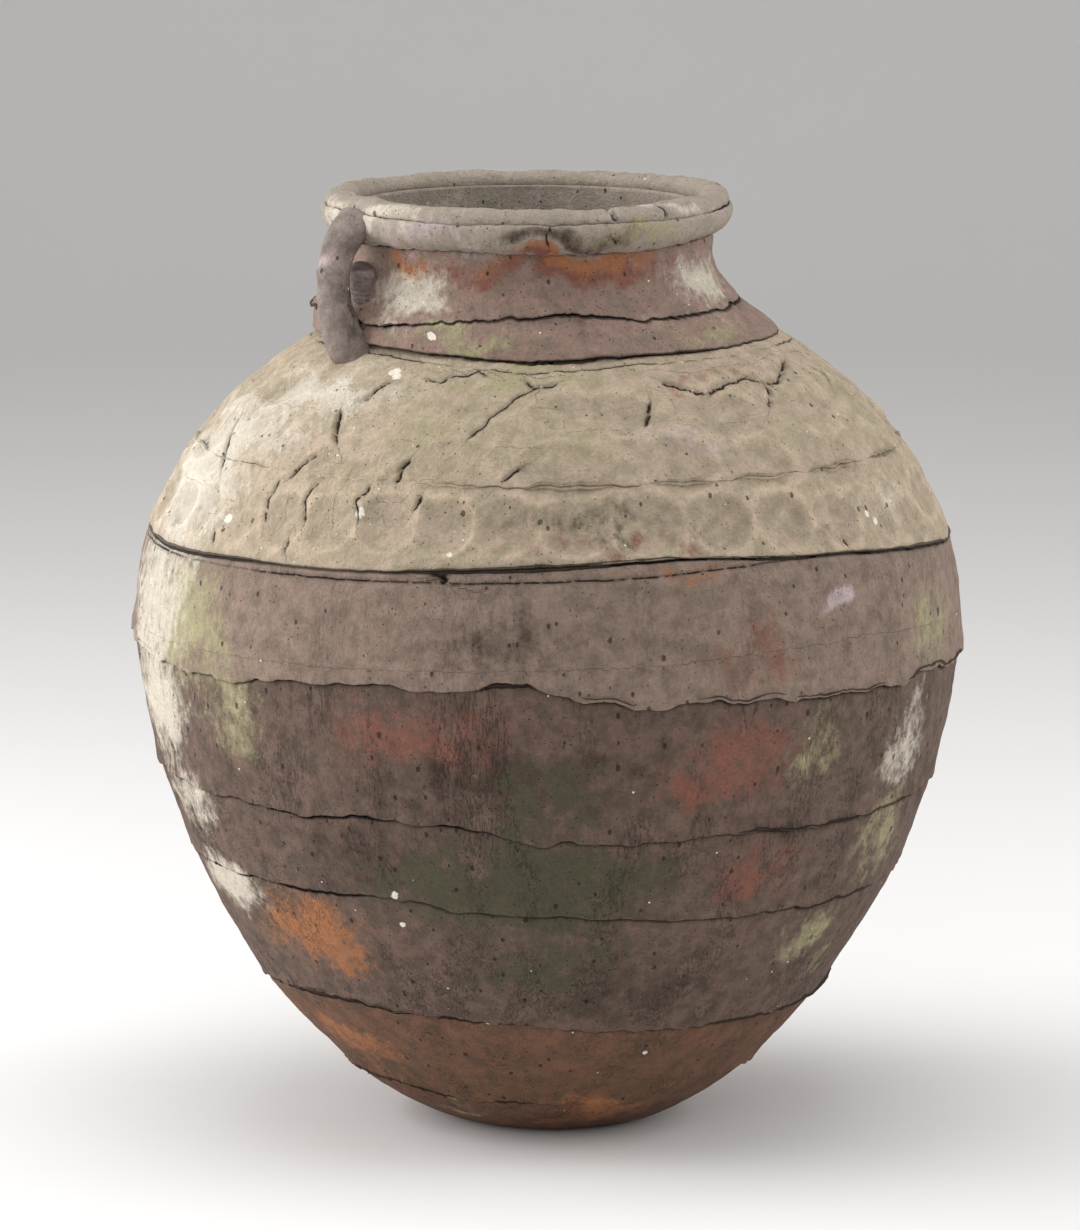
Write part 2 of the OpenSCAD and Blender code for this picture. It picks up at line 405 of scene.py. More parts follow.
class Stain(Enum):
    """Weathering and fire colours that lie in patches, and one painted shade, with channel of the mask."""

    ASH = 0
    UMBER = 1
    RUST = 2
    OLIVE = 3
    KHAKI = 4
    OCHRE = 5
    LILAC = 6
    # Painted shade: a dark tone that stands for the shade down the lug strap's right side.
    SOOT = 7


@dataclass(frozen=True)
class Patch:
    """Patch of one stain or of painted shade: centre, full width and height in mm, and strength."""

    stain_and_shade: Stain
    azimuth: float
    height: float
    width: float
    tall: float
    strength: float = 1.0

    def cover(self, skin: Skin) -> np.ndarray:
        """Strength of the stain or painted shade at each point, a bell over the patch with ragged edges."""
        right, up = skin.away(self.azimuth, self.height)
        wide, high = self.width / 2.0, self.tall / 2.0
        return self.strength * np.exp(-((right / wide) ** 2) - (up / high) ** 2)


@dataclass(frozen=True)
class Fleck:
    """Small pale spot, with its half width in mm."""

    azimuth: float
    height: float
    half: float

    def cone(self, skin: Skin) -> np.ndarray:
        """Fall from 2 at the centre to 1 at the spot's edge and 0 at twice its size."""
        right, up = skin.away(self.azimuth, self.height)
        return np.clip(2.0 - np.hypot(right, up) / self.half, 0.0, 2.0)


@dataclass
class HandMarks:
    """Everything that hands, fire and age left on one group of pieces, and patches of painted shade."""

    dents: list[Dent] = field(default_factory=list)
    cracks: list[Crack] = field(default_factory=list)
    lines: list[ScratchedLine] = field(default_factory=list)
    bumps: list[Dent] = field(default_factory=list)
    patches: list[Patch] = field(default_factory=list)
    flecks: list[Fleck] = field(default_factory=list)

    def hollows(self, skin: Skin) -> np.ndarray:
        """Depth of all dents together, with crests where two of them meet.

        The dents are joined by a power mean, which keeps the deeper one and only
        rounds the crest between them a little.
        """
        power = 7.0
        total = np.zeros(skin.height.shape)
        for dent in self.dents:
            total += dent.sink(skin) ** power
        return total ** (1.0 / power)

    def swellings(self, skin: Skin) -> np.ndarray:
        """Height of all bumps together."""
        total = np.zeros(skin.height.shape)
        for bump in self.bumps:
            total += bump.sink(skin)
        return total

    def openings(self, skin: Skin) -> tuple[np.ndarray, np.ndarray, np.ndarray]:
        """Nearest crack or line: distance in its widths, openness, and depth in mm."""
        nearest = np.full(skin.height.shape, FAR)
        share = np.zeros(skin.height.shape)
        depth = np.zeros(skin.height.shape)
        for mark in [*self.cracks, *self.lines]:
            distance, openness = mark.reach(skin)
            groove_half = max(1.0, 1.5 / mark.width)
            groove = mark.depth * openness * np.exp(-((distance / groove_half) ** 2))
            depth = np.maximum(depth, groove)
            better = np.abs(distance) < np.abs(nearest)
            nearest = np.where(better, distance, nearest)
            share = np.where(better, openness, share)
        return np.clip(nearest, -LINE_REACH, LINE_REACH), share, depth

    def stains_and_shade(self, skin: Skin) -> np.ndarray:
        """Masks of all stains and of the painted shade, one channel each, with warped and uneven edges."""
        warp = 14.0
        moved = Skin(
            skin.azimuth + warp * Clay.layered(skin.point, 46.0, 201) / np.radians(skin.radius + 30.0),
            skin.height + warp * Clay.layered(skin.point, 46.0, 205),
            skin.radius, skin.stretch, skin.point,
        )
        masks = np.zeros((*skin.height.shape, len(Stain)))
        for patch in self.patches:
            channel = patch.stain_and_shade.value
            cover = np.clip(patch.cover(moved), 0.0, 1.0)
            masks[..., channel] = 1.0 - (1.0 - masks[..., channel]) * (1.0 - cover)
        uneven = 1.0 + 0.35 * Clay.layered(skin.point, 24.0, 211, 3)
        return np.clip(masks * uneven[..., None], 0.0, 1.0)

    def spots(self, skin: Skin) -> np.ndarray:
        """Cones of the pale flecks."""
        total = np.zeros(skin.height.shape)
        for fleck in self.flecks:
            total = np.maximum(total, fleck.cone(skin))
        return total


# ---------------------------------------------------------------- meshes


def softened(grid: np.ndarray, passes: int) -> np.ndarray:
    """Average a grid with its neighbours a number of times, round its columns."""
    result = grid
    for _ in range(passes):
        result = (result + np.roll(result, 1, 1) + np.roll(result, -1, 1)) / 3.0
        padded = np.concatenate([result[:1], result, result[-1:]])
        result = (padded[:-2] + padded[1:-1] + padded[2:]) / 3.0
    return result


def grid_normals(points: np.ndarray, ring: bool) -> np.ndarray:
    """Outward directions of a grid whose columns go round to the right and rows go up.

    The direction is the cross product of the steps along the row and up the column.

    Args:
        points: places, shape (rows, columns, 3).
        ring: whether the last row meets the first one.
    """
    around = np.roll(points, -1, 1) - np.roll(points, 1, 1)
    if ring:
        upward = np.roll(points, -1, 0) - np.roll(points, 1, 0)
    else:
        upward = np.gradient(points, axis=0)
    normal = np.cross(around, upward)
    length = np.linalg.norm(normal, axis=-1, keepdims=True)
    return normal / np.maximum(length, 1e-9)


def grid_piece(
    name: str, points: np.ndarray, ring: bool, values: dict[str, np.ndarray]
) -> bpy.types.Object:
    """Put a grid of points into a closed mesh.

    A ring joins its last row to its first. Otherwise the first and last rows are each
    closed by a fan of triangles round a pole in the middle of the row.

    Args:
        name: name of the new object.
        points: places in mm, shape (rows, columns, 3).
        ring: whether the rows close on themselves.
        values: named values of each point, with one channel or four.

    Returns:
        The object, linked to the scene.
    """
    rows, columns, _ = points.shape
    flat = points.reshape(-1, 3) * MM
    index = np.arange(rows * columns).reshape(rows, columns)
    lower = index if ring else index[:-1]
    upper = np.roll(index, -1, 0) if ring else index[1:]
    quads = np.stack(
        [lower, np.roll(lower, -1, 1), np.roll(upper, -1, 1), upper], axis=-1
    ).reshape(-1, 4)
    corners = [quads.ravel()]
    starts = [np.arange(len(quads)) * 4]
    extra = {key: value.reshape(rows * columns, -1) for key, value in values.items()}
    if not ring:
        first, last = len(flat), len(flat) + 1
        fan_low = np.stack([np.roll(index[0], -1), index[0], np.full(columns, first)], axis=-1)
        fan_high = np.stack([index[-1], np.roll(index[-1], -1), np.full(columns, last)], axis=-1)
        fans = np.concatenate([fan_low, fan_high])
        starts.append(len(quads) * 4 + np.arange(len(fans)) * 3)
        corners.append(fans.ravel())
        flat = np.concatenate([flat, flat[:columns].mean(0)[None], flat[-columns:].mean(0)[None]])
        extra = {
            key: np.concatenate([v, v[:columns].mean(0)[None], v[-columns:].mean(0)[None]])
            for key, v in extra.items()
        }
    mesh = bpy.data.meshes.new(name)
    mesh.vertices.add(len(flat))
    mesh.vertices.foreach_set("co", flat.astype(np.float32).ravel())
    corner_list = np.concatenate(corners).astype(np.int32)
    start_list = np.concatenate(starts).astype(np.int32)
    mesh.loops.add(len(corner_list))
    mesh.loops.foreach_set("vertex_index", corner_list)
    mesh.polygons.add(len(start_list))
    mesh.polygons.foreach_set("loop_start", start_list)
    mesh.update(calc_edges=True)
    mesh.polygons.foreach_set("use_smooth", np.ones(len(start_list), bool))
    for key, value in extra.items():
        kind = "FLOAT" if value.shape[1] == 1 else "FLOAT_COLOR"
        channel = "value" if value.shape[1] == 1 else "color"
        layer = mesh.attributes.new(key, kind, "POINT")
        layer.data.foreach_set(channel, value.astype(np.float32).ravel())
    mesh.validate()
    piece = bpy.data.objects.new(name, mesh)
    bpy.context.scene.collection.objects.link(piece)
    return piece


@dataclass(frozen=True)
class Columns:
    """Columns of a ring, closer together at the front than at the back."""

    count: int = 960
    crowding: float = 0.3

    def azimuths(self) -> np.ndarray:
        """Azimuth of each column: an even turn less the crowding times its sine."""
        turn = np.arange(self.count) / self.count * 2.0 * math.pi
        return np.degrees(turn - self.crowding * np.sin(turn))


def spaced(length: float, pitch: float, edge: float = 6.0, fine: float = 0.5) -> np.ndarray:
    """Shares from 0 to 1 along a length, with smaller steps near both ends.

    The steps grow from fine at an end to the full pitch at a distance of edge.
    """
    dense = np.linspace(0.0, length, 4000)
    from_end = np.minimum(dense, length - dense)
    step = fine + (pitch - fine) * ease(0.0, edge, from_end)
    count = np.concatenate([[0.0], np.cumsum(np.diff(dense) / step[1:])])
    steps = max(int(round(count[-1])), 4)
    return np.interp(np.linspace(0.0, count[-1], steps + 1), count, dense) / length


@dataclass
class RingShape:
    """Rows of a ring of clay before its surface is worked.

    Attributes:
        radius, height: section of the ring, shape (rows, columns), in mm.
        axis_x: sideways place of the axis for each point, in mm.
        face: 1 on the outer face, 0 on joints, -1 inside.
        low, high: distance along the outer face from its lower and upper edge, in mm.
        ring: whether the rows close on themselves.
    """

    radius: np.ndarray
    height: np.ndarray
    axis_x: np.ndarray
    face: np.ndarray
    low: np.ndarray
    high: np.ndarray
    ring: bool = True

    @classmethod
    def stacked(
        cls,
        strips: list[tuple[float, np.ndarray, np.ndarray]],
        axis_x: np.ndarray | float,
        ring: bool = True,
    ) -> "RingShape":
        """Stack strips of rows, each with its face number, radii and heights."""
        face = np.concatenate([np.full(r.shape, kind) for kind, r, _ in strips])
        radius = np.concatenate([r for _, r, _ in strips])
        height = np.concatenate([z for _, _, z in strips])
        low = np.full(radius.shape, FAR)
        high = np.full(radius.shape, FAR)
        row = 0
        for kind, r, z in strips:
            if kind == 1:
                step = np.hypot(np.diff(r, axis=0), np.diff(z, axis=0))
                run = np.concatenate([np.zeros((1, r.shape[1])), np.cumsum(step, axis=0)])
                low[row : row + len(r)] = run
                high[row : row + len(r)] = run[-1:] - run
            row += len(r)
        return cls(radius, height, np.broadcast_to(axis_x, radius.shape), face, low, high, ring)

    def points(self, azimuth: np.ndarray) -> np.ndarray:
        """Places of the rows at each column's azimuth, in mm."""
        turn = np.radians(azimuth)[None, :]
        return np.stack(
            [
                self.axis_x + self.radius * np.sin(turn),
                -self.radius * np.cos(turn),
                self.height,
            ],
            axis=-1,
        )

    def skin(self, azimuth: np.ndarray, points: np.ndarray) -> Skin:
        """Describe where the rows lie on the jar."""
        rise = np.gradient(self.height, axis=0)
        out = np.gradient(self.radius, axis=0)
        stretch = np.hypot(rise, out) / np.maximum(np.abs(rise), 0.35 * np.hypot(rise, out) + 1e-6)
        stretch = np.where(self.face == 1, stretch, 1.0)
        grid = np.broadcast_to(azimuth[None, :], self.radius.shape)
        return Skin(grid, self.height, np.maximum(self.radius, 20.0), stretch, points)


@dataclass(frozen=True)
class Working:
    """How roughly a piece's surface was worked, in mm."""

    sway: float = 2.0
    lump: float = 0.8
    stroke: float = 0.35
    grit: float = 0.22
    stroke_lean: float = 0.0
    seed: int = 11

    def relief(self, skin: Skin) -> np.ndarray:
        """Uneven height of the worked surface: sway, lumps, smoothing strokes and grit."""
        point = skin.point
        lean = math.radians(self.stroke_lean)
        right = point[..., 0]
        strokes = np.stack(
            [
                (right * math.cos(lean) + point[..., 2] * math.sin(lean)) / 34.0,
                point[..., 1] / 34.0,
                (point[..., 2] * math.cos(lean) - right * math.sin(lean)) / 8.0,
            ],
            axis=-1,
        )
        return (
            self.sway * Clay.lumps(point, 150.0, self.seed)
            + self.lump * Clay.lumps(point, 42.0, self.seed + 1)
            + 0.5 * self.lump * Clay.lumps(point, 21.0, self.seed + 2)
            + self.stroke * Clay.lumps(strokes, 1.0, self.seed + 3)
            + self.grit * Clay.lumps(point, 8.0, self.seed + 4)
            + 0.6 * self.grit * Clay.lumps(point, 3.8, self.seed + 5)
        )


@dataclass
class ClayRing:
    """One ring of the jar, from its plain section to its finished mesh."""

    node: str
    slot: str
    shape: RingShape
    marks: HandMarks
    working: Working
    below: Joint
    above: Joint
    columns: Columns

    def build(self) -> bpy.types.Object:
        """Work the surface and make the mesh.

        The displacement along the outward direction is the worked relief, less the
        dents and cracks, plus the swelling at the lower edge, less the grooves at
        both edges.

        Returns:
            The piece, with the values that its clay finish reads.
        """
        azimuth = self.columns.azimuths()
        points = self.shape.points(azimuth)
        skin = self.shape.skin(azimuth, points)
        normal = grid_normals(points, self.shape.ring)
        outer = self.shape.face == 1
        inner = self.shape.face == -1

        line, line_open, line_depth = self.marks.openings(skin)
        hollow = self.marks.hollows(skin)
        relief = self.working.relief(skin) + self.marks.swellings(skin) - hollow
        uneven = 0.65 + 0.7 * ease(-0.5, 0.6, self.below.wander(azimuth, 26.0))[None, :]
        swell = self.below.step * uneven * np.clip(1.0 - self.shape.low / 24.0, 0.0, 1.0) ** 2
        groove_low = self.below.groove * np.exp(-((self.shape.low / 1.3) ** 2))
        groove_high = 0.8 * self.above.groove * np.exp(-((self.shape.high / 1.8) ** 2))
        edge_fade = 0.7
        edge = swell * np.exp(-self.shape.low / edge_fade)
        work = relief - line_depth + swell - (groove_low + edge) - groove_high
        rough_inside = 0.5 * relief
        offset = np.where(outer, work, np.where(inner, rough_inside, 0.0))
        hang = self.below.droop * uneven * np.exp(-(((self.shape.low - 2.2) / 1.8) ** 2))
        finished = points + normal * offset[..., None]
        finished[..., 2] -= np.where(outer, hang, 0.0)

        # High-pass relief: the finish turns it into painted shade in hollows and a painted highlight on
        # crests.
        crest = np.where(outer, relief - softened(relief, 14), 0.0)
        # Painted shadow along both joints of the outer face, under the lapping edges; full on the joint
        # faces, none on the inner face.
        seam = np.where(
            outer,
            np.exp(-((self.shape.low / 1.6) ** 2)) * min(self.below.groove, 1.0)
            + np.exp(-((self.shape.high / 1.8) ** 2)) * min(self.above.groove, 1.0),
            np.where(inner, 0.0, 1.0),
        )
        stains_and_shade = self.marks.stains_and_shade(skin)
        values = {
            "line": line,
            "line_open": np.where(outer, line_open, 0.0),
            "crest": crest,
            "seam": seam,
            "fleck": np.where(outer, self.marks.spots(skin), 0.0),
            "inside": np.where(inner, 1.0, 0.0),
            "stain_a": stains_and_shade[..., :4],
            # The last channel of the second mask carries the painted shade on the strap's side.
            "stain_and_shade_b": stains_and_shade[..., 4:],
        }
        piece = grid_piece(self.node + "_clay", finished, self.shape.ring, values)
        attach(piece, "root")
        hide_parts(self.node)
        LOG.info("%s: %d faces", piece.name, len(piece.data.polygons))
        return piece


# ---------------------------------------------------------------- shader groups


class Wiring:
    """Places and links the nodes of one node tree."""

    def __init__(self, tree: bpy.types.NodeTree) -> None:
        """Keep the tree that is being wired."""
        self.tree = tree

    def add(self, kind: str, **settings: object) -> bpy.types.Node:
        """Place a node and set its options."""
        node = self.tree.nodes.new(kind)
        for key, value in settings.items():
            setattr(node, key, value)
        return node

    def feed(self, socket: bpy.types.NodeSocket, value: object) -> None:
        """Link a socket to a socket, or write a plain value on it."""
        if isinstance(value, bpy.types.NodeSocket):
            self.tree.links.new(value, socket)
        else:
            socket.default_value = value

    def math(self, operation: str, *values: object, clamp: bool = False) -> bpy.types.NodeSocket:
        """Place a math node and return its result."""
        node = self.add("ShaderNodeMath", operation=operation, use_clamp=clamp)
        for socket, value in zip(node.inputs, values):
            self.feed(socket, value)
        return node.outputs[0]

    def rise(self, value: object, low: float, high: float, top: float = 1.0) -> bpy.types.NodeSocket:
        """Rise smoothly from 0 at low to top at high."""
        node = self.add("ShaderNodeMapRange", interpolation_type="SMOOTHSTEP")
        for name, item in (("Value", value), ("From Min", low), ("From Max", high), ("To Max", top)):
            self.feed(node.inputs[name], item)
        return node.outputs["Result"]

    def stretch(self, vector: object, scale: tuple[float, float, float]) -> bpy.types.NodeSocket:
        """Multiply a vector by a scale along each axis."""
        node = self.add("ShaderNodeVectorMath", operation="MULTIPLY")
        self.feed(node.inputs[0], vector)
        node.inputs[1].default_value = scale
        return node.outputs[0]

    def noise(
        self, vector: object, scale: object, detail: float = 3.0, rough: float = 0.55, warp: float = 0.0
    ) -> bpy.types.NodeSocket:
        """Place a noise texture and return its value of about 0.3 to 0.7."""
        node = self.add("ShaderNodeTexNoise")
        self.feed(node.inputs["Vector"], vector)
        self.feed(node.inputs["Scale"], scale)
        node.inputs["Detail"].default_value = detail
        node.inputs["Roughness"].default_value = rough
        node.inputs["Distortion"].default_value = warp
        return node.outputs[0]

    def cells(self, vector: object, scale: object, feature: str = "F1") -> bpy.types.Node:
        """Place a Voronoi texture and return the node."""
        node = self.add("ShaderNodeTexVoronoi", feature=feature)
        self.feed(node.inputs["Vector"], vector)
        self.feed(node.inputs["Scale"], scale)
        return node

    def mix(self, share: object, first: object, second: object, blend: str = "MIX") -> bpy.types.NodeSocket:
        """Mix two colours and return the result."""
        node = self.add("ShaderNodeMix", data_type="RGBA", blend_type=blend)
        self.feed(node.inputs["Factor"], share)
        self.feed(node.inputs[6], first)
        self.feed(node.inputs[7], second)
        return node.outputs[2]

    def attribute(self, name: str) -> bpy.types.Node:
        """Read a value that the mesh carries."""
        return self.add("ShaderNodeAttribute", attribute_name=name)

    def group(self, tree: bpy.types.NodeTree, **values: object) -> bpy.types.Node:
        """Place a node group and feed its inputs by name."""
        node = self.add("ShaderNodeGroup", node_tree=tree)
        for key, value in values.items():
            self.feed(node.inputs[key], value)
        return node


class GroupTree:
    """Node group with named inputs and outputs."""

    def __init__(self, name: str, inputs: dict[str, str], outputs: dict[str, str]) -> None:
        """Make the group, its sockets and its two end nodes."""
        self.tree = bpy.data.node_groups.new(name, "ShaderNodeTree")
        for key, kind in inputs.items():
            self.tree.interface.new_socket(key, in_out="INPUT", socket_type="NodeSocket" + kind)
        for key, kind in outputs.items():
            self.tree.interface.new_socket(key, in_out="OUTPUT", socket_type="NodeSocket" + kind)
        self.wire = Wiring(self.tree)
        self.given = self.wire.add("NodeGroupInput")
        self.result = self.wire.add("NodeGroupOutput")

    def value(self, name: str) -> bpy.types.NodeSocket:
        """Input socket by name, as seen from inside."""
        return self.given.outputs[name]

    def put(self, name: str, socket: bpy.types.NodeSocket) -> None:
        """Link a result to an output by name."""
        self.tree.links.new(socket, self.result.inputs[name])


class ClayGroups:
    """Effects that all clay finishes share, each built once."""

    def __init__(self) -> None:
        """Build every group."""
        self.grain = self._grain()
        self.pits = self._pits()
        self.scoring = self._scoring()
        self.opening = self._opening()
        self.stain_and_shade = self._stain_and_shade()
        self.flecks = self._flecks()

    def _grain(self) -> bpy.types.NodeTree:
        """Sandy grain: mottled tone, grains of sand and their height."""
        group = GroupTree(
            "sandy_grain", {"Vector": "Vector", "Size": "Float"},
            {"Mottle": "Float", "Sand": "Float", "Height": "Float"},
        )
        wire, place, size = group.wire, group.value("Vector"), group.value("Size")
        mottle = wire.noise(place, wire.math("MULTIPLY", size, 90.0), 5.0, 0.62)
        medium = wire.noise(place, wire.math("MULTIPLY", size, 420.0), 3.0, 0.6)
        fine = wire.noise(place, wire.math("MULTIPLY", size, 1300.0), 2.0, 0.6)
        grit = wire.cells(place, wire.math("MULTIPLY", size, 620.0))
        grit_height = wire.rise(grit.outputs["Distance"], 0.55, 0.05)
        sand = wire.math("ADD", wire.math("MULTIPLY", medium, 0.55), wire.math("MULTIPLY", fine, 0.45))
        height = wire.math("MULTIPLY_ADD", medium, 0.9, wire.math("MULTIPLY", fine, 0.5))
        height = wire.math("MULTIPLY_ADD", grit_height, 0.22, height)
        group.put("Mottle", mottle)
        group.put("Sand", sand)
        group.put("Height", height)
        return group.tree

    def _pits(self) -> bpy.types.NodeTree:
        """Small pits: cells whose random number is under the amount hold one each."""
        group = GroupTree(
            "burnt_out_pits", {"Vector": "Vector", "Scale": "Float", "Amount": "Float"},
            {"Mask": "Float"},
        )
        wire = group.wire
        bent = wire.noise(group.value("Vector"), 260.0, 2.0, 0.5)
        cells = wire.cells(group.value("Vector"), group.value("Scale"))
        split = wire.add("ShaderNodeSeparateColor")
        wire.feed(split.inputs[0], cells.outputs["Color"])
        chosen = wire.math("LESS_THAN", split.outputs[0], group.value("Amount"))
        size = wire.math("MULTIPLY_ADD", split.outputs[1], 0.22, 0.1)
        edge = wire.math("MULTIPLY_ADD", bent, 0.24, wire.math("SUBTRACT", size, 0.12))
        near = wire.math("SUBTRACT", edge, cells.outputs["Distance"])
        group.put("Mask", wire.math("MULTIPLY", wire.rise(near, -0.02, 0.09), chosen))
        return group.tree

    def _scoring(self) -> bpy.types.NodeTree:
        """Scraped streaks: noise on a stretched vector, kept where it crosses its middle."""
        group = GroupTree(
            "scraped_streaks", {"Vector": "Vector", "Scale": "Float"},
            {"Mask": "Float", "Height": "Float"},
        )
        wire = group.wire
        streak = wire.noise(group.value("Vector"), group.value("Scale"), 4.0, 0.65)
        gate = wire.noise(group.value("Vector"), wire.math("MULTIPLY", group.value("Scale"), 0.13), 2.0)
        thin = wire.rise(wire.math("ABSOLUTE", wire.math("SUBTRACT", streak, 0.5)), 0.035, 0.0)
        group.put("Mask", wire.math("MULTIPLY", thin, wire.rise(gate, 0.46, 0.6)))
        group.put("Height", streak)
        return group.tree

    def _opening(self) -> bpy.types.NodeTree:
        """Crack line: painted shade, dark where the signed distance that the mesh carries is small."""
        group = GroupTree(
            "crack_line", {"Vector": "Vector", "Distance": "Float", "Open": "Float"},
            {"Mask": "Float", "Shade": "Float"},
        )
        wire = group.wire
        wobble = wire.math("MULTIPLY_ADD", wire.noise(group.value("Vector"), 420.0, 3.0), 0.9, -0.45)
        distance = wire.math("ABSOLUTE", wire.math("ADD", group.value("Distance"), wobble))
        uneven = wire.noise(group.value("Vector"), 160.0, 2.0)
        open_share = wire.math("MULTIPLY", group.value("Open"), wire.rise(uneven, 0.3, 0.5))
        core = wire.rise(distance, 0.85, 0.15)
        halo = wire.rise(distance, 3.2, 0.4)
        group.put("Mask", wire.math("MULTIPLY", core, open_share))
        group.put("Shade", wire.math("MULTIPLY", halo, open_share))
        return group.tree

    def _stain_and_shade(self) -> bpy.types.NodeTree:
        """Stain or painted shade with ragged, grainy edges: the mask is pushed about by noise, then eased."""
        group = GroupTree(
            "ragged_stain_and_shade",
            {"Vector": "Vector", "Base": "Color", "Stain": "Color", "Mask": "Float", "Scale": "Float"},
            {"Color": "Color"},
        )
        wire = group.wire
        patchy = wire.noise(group.value("Vector"), group.value("Scale"), 6.0, 0.68)
        pushed = wire.math("ADD", group.value("Mask"), wire.math("MULTIPLY_ADD", patchy, 1.5, -0.75))
        ragged = wire.rise(pushed, 0.2, 0.85)
        share = wire.math("MULTIPLY", ragged, wire.rise(group.value("Mask"), 0.02, 0.4))
        group.put("Color", wire.mix(share, group.value("Base"), group.value("Stain")))
        return group.tree

    def _flecks(self) -> bpy.types.NodeTree:
        """Pale flecks: those that the mesh carries, and a dust of random small ones."""
        group = GroupTree(
            "pale_flecks", {"Vector": "Vector", "Cone": "Float", "Amount": "Float"},
            {"Mask": "Float"},
        )
        wire = group.wire
        ragged = wire.math("MULTIPLY_ADD", wire.noise(group.value("Vector"), 700.0, 3.0), 1.2, -0.6)
        placed = wire.rise(wire.math("ADD", group.value("Cone"), ragged), 0.85, 1.15)
        cells = wire.cells(group.value("Vector"), 190.0)
        split = wire.add("ShaderNodeSeparateColor")
        wire.feed(split.inputs[0], cells.outputs["Color"])
        chosen = wire.math("LESS_THAN", split.outputs[0], group.value("Amount"))
        size = wire.math("MULTIPLY_ADD", split.outputs[2], 0.14, 0.05)
        dust = wire.rise(wire.math("SUBTRACT", size, cells.outputs["Distance"]), -0.02, 0.05)
        group.put("Mask", wire.math("MAXIMUM", placed, wire.math("MULTIPLY", dust, chosen)))
        return group.tree


STAIN_AND_SHADE_TONES: dict[Stain, tuple[float, float, float, float]] = {
    Stain.ASH: tone(198, 189, 174),
    Stain.UMBER: tone(70, 54, 46),
    Stain.RUST: tone(128, 84, 72),
    Stain.OLIVE: tone(78, 74, 58),
    Stain.KHAKI: tone(156, 148, 116),
    Stain.OCHRE: tone(158, 106, 72),
    Stain.LILAC: tone(178, 160, 160),
    # Dark tone of the painted shade down the strap's right side.
    Stain.SOOT: tone(46, 40, 38),
}
# Near-black tone of the painted shade in pits, cracks, scratched lines and joints.
RECESS_SHADE_TONE = tone(30, 22, 18)
FLECK_TONE = tone(226, 218, 204)


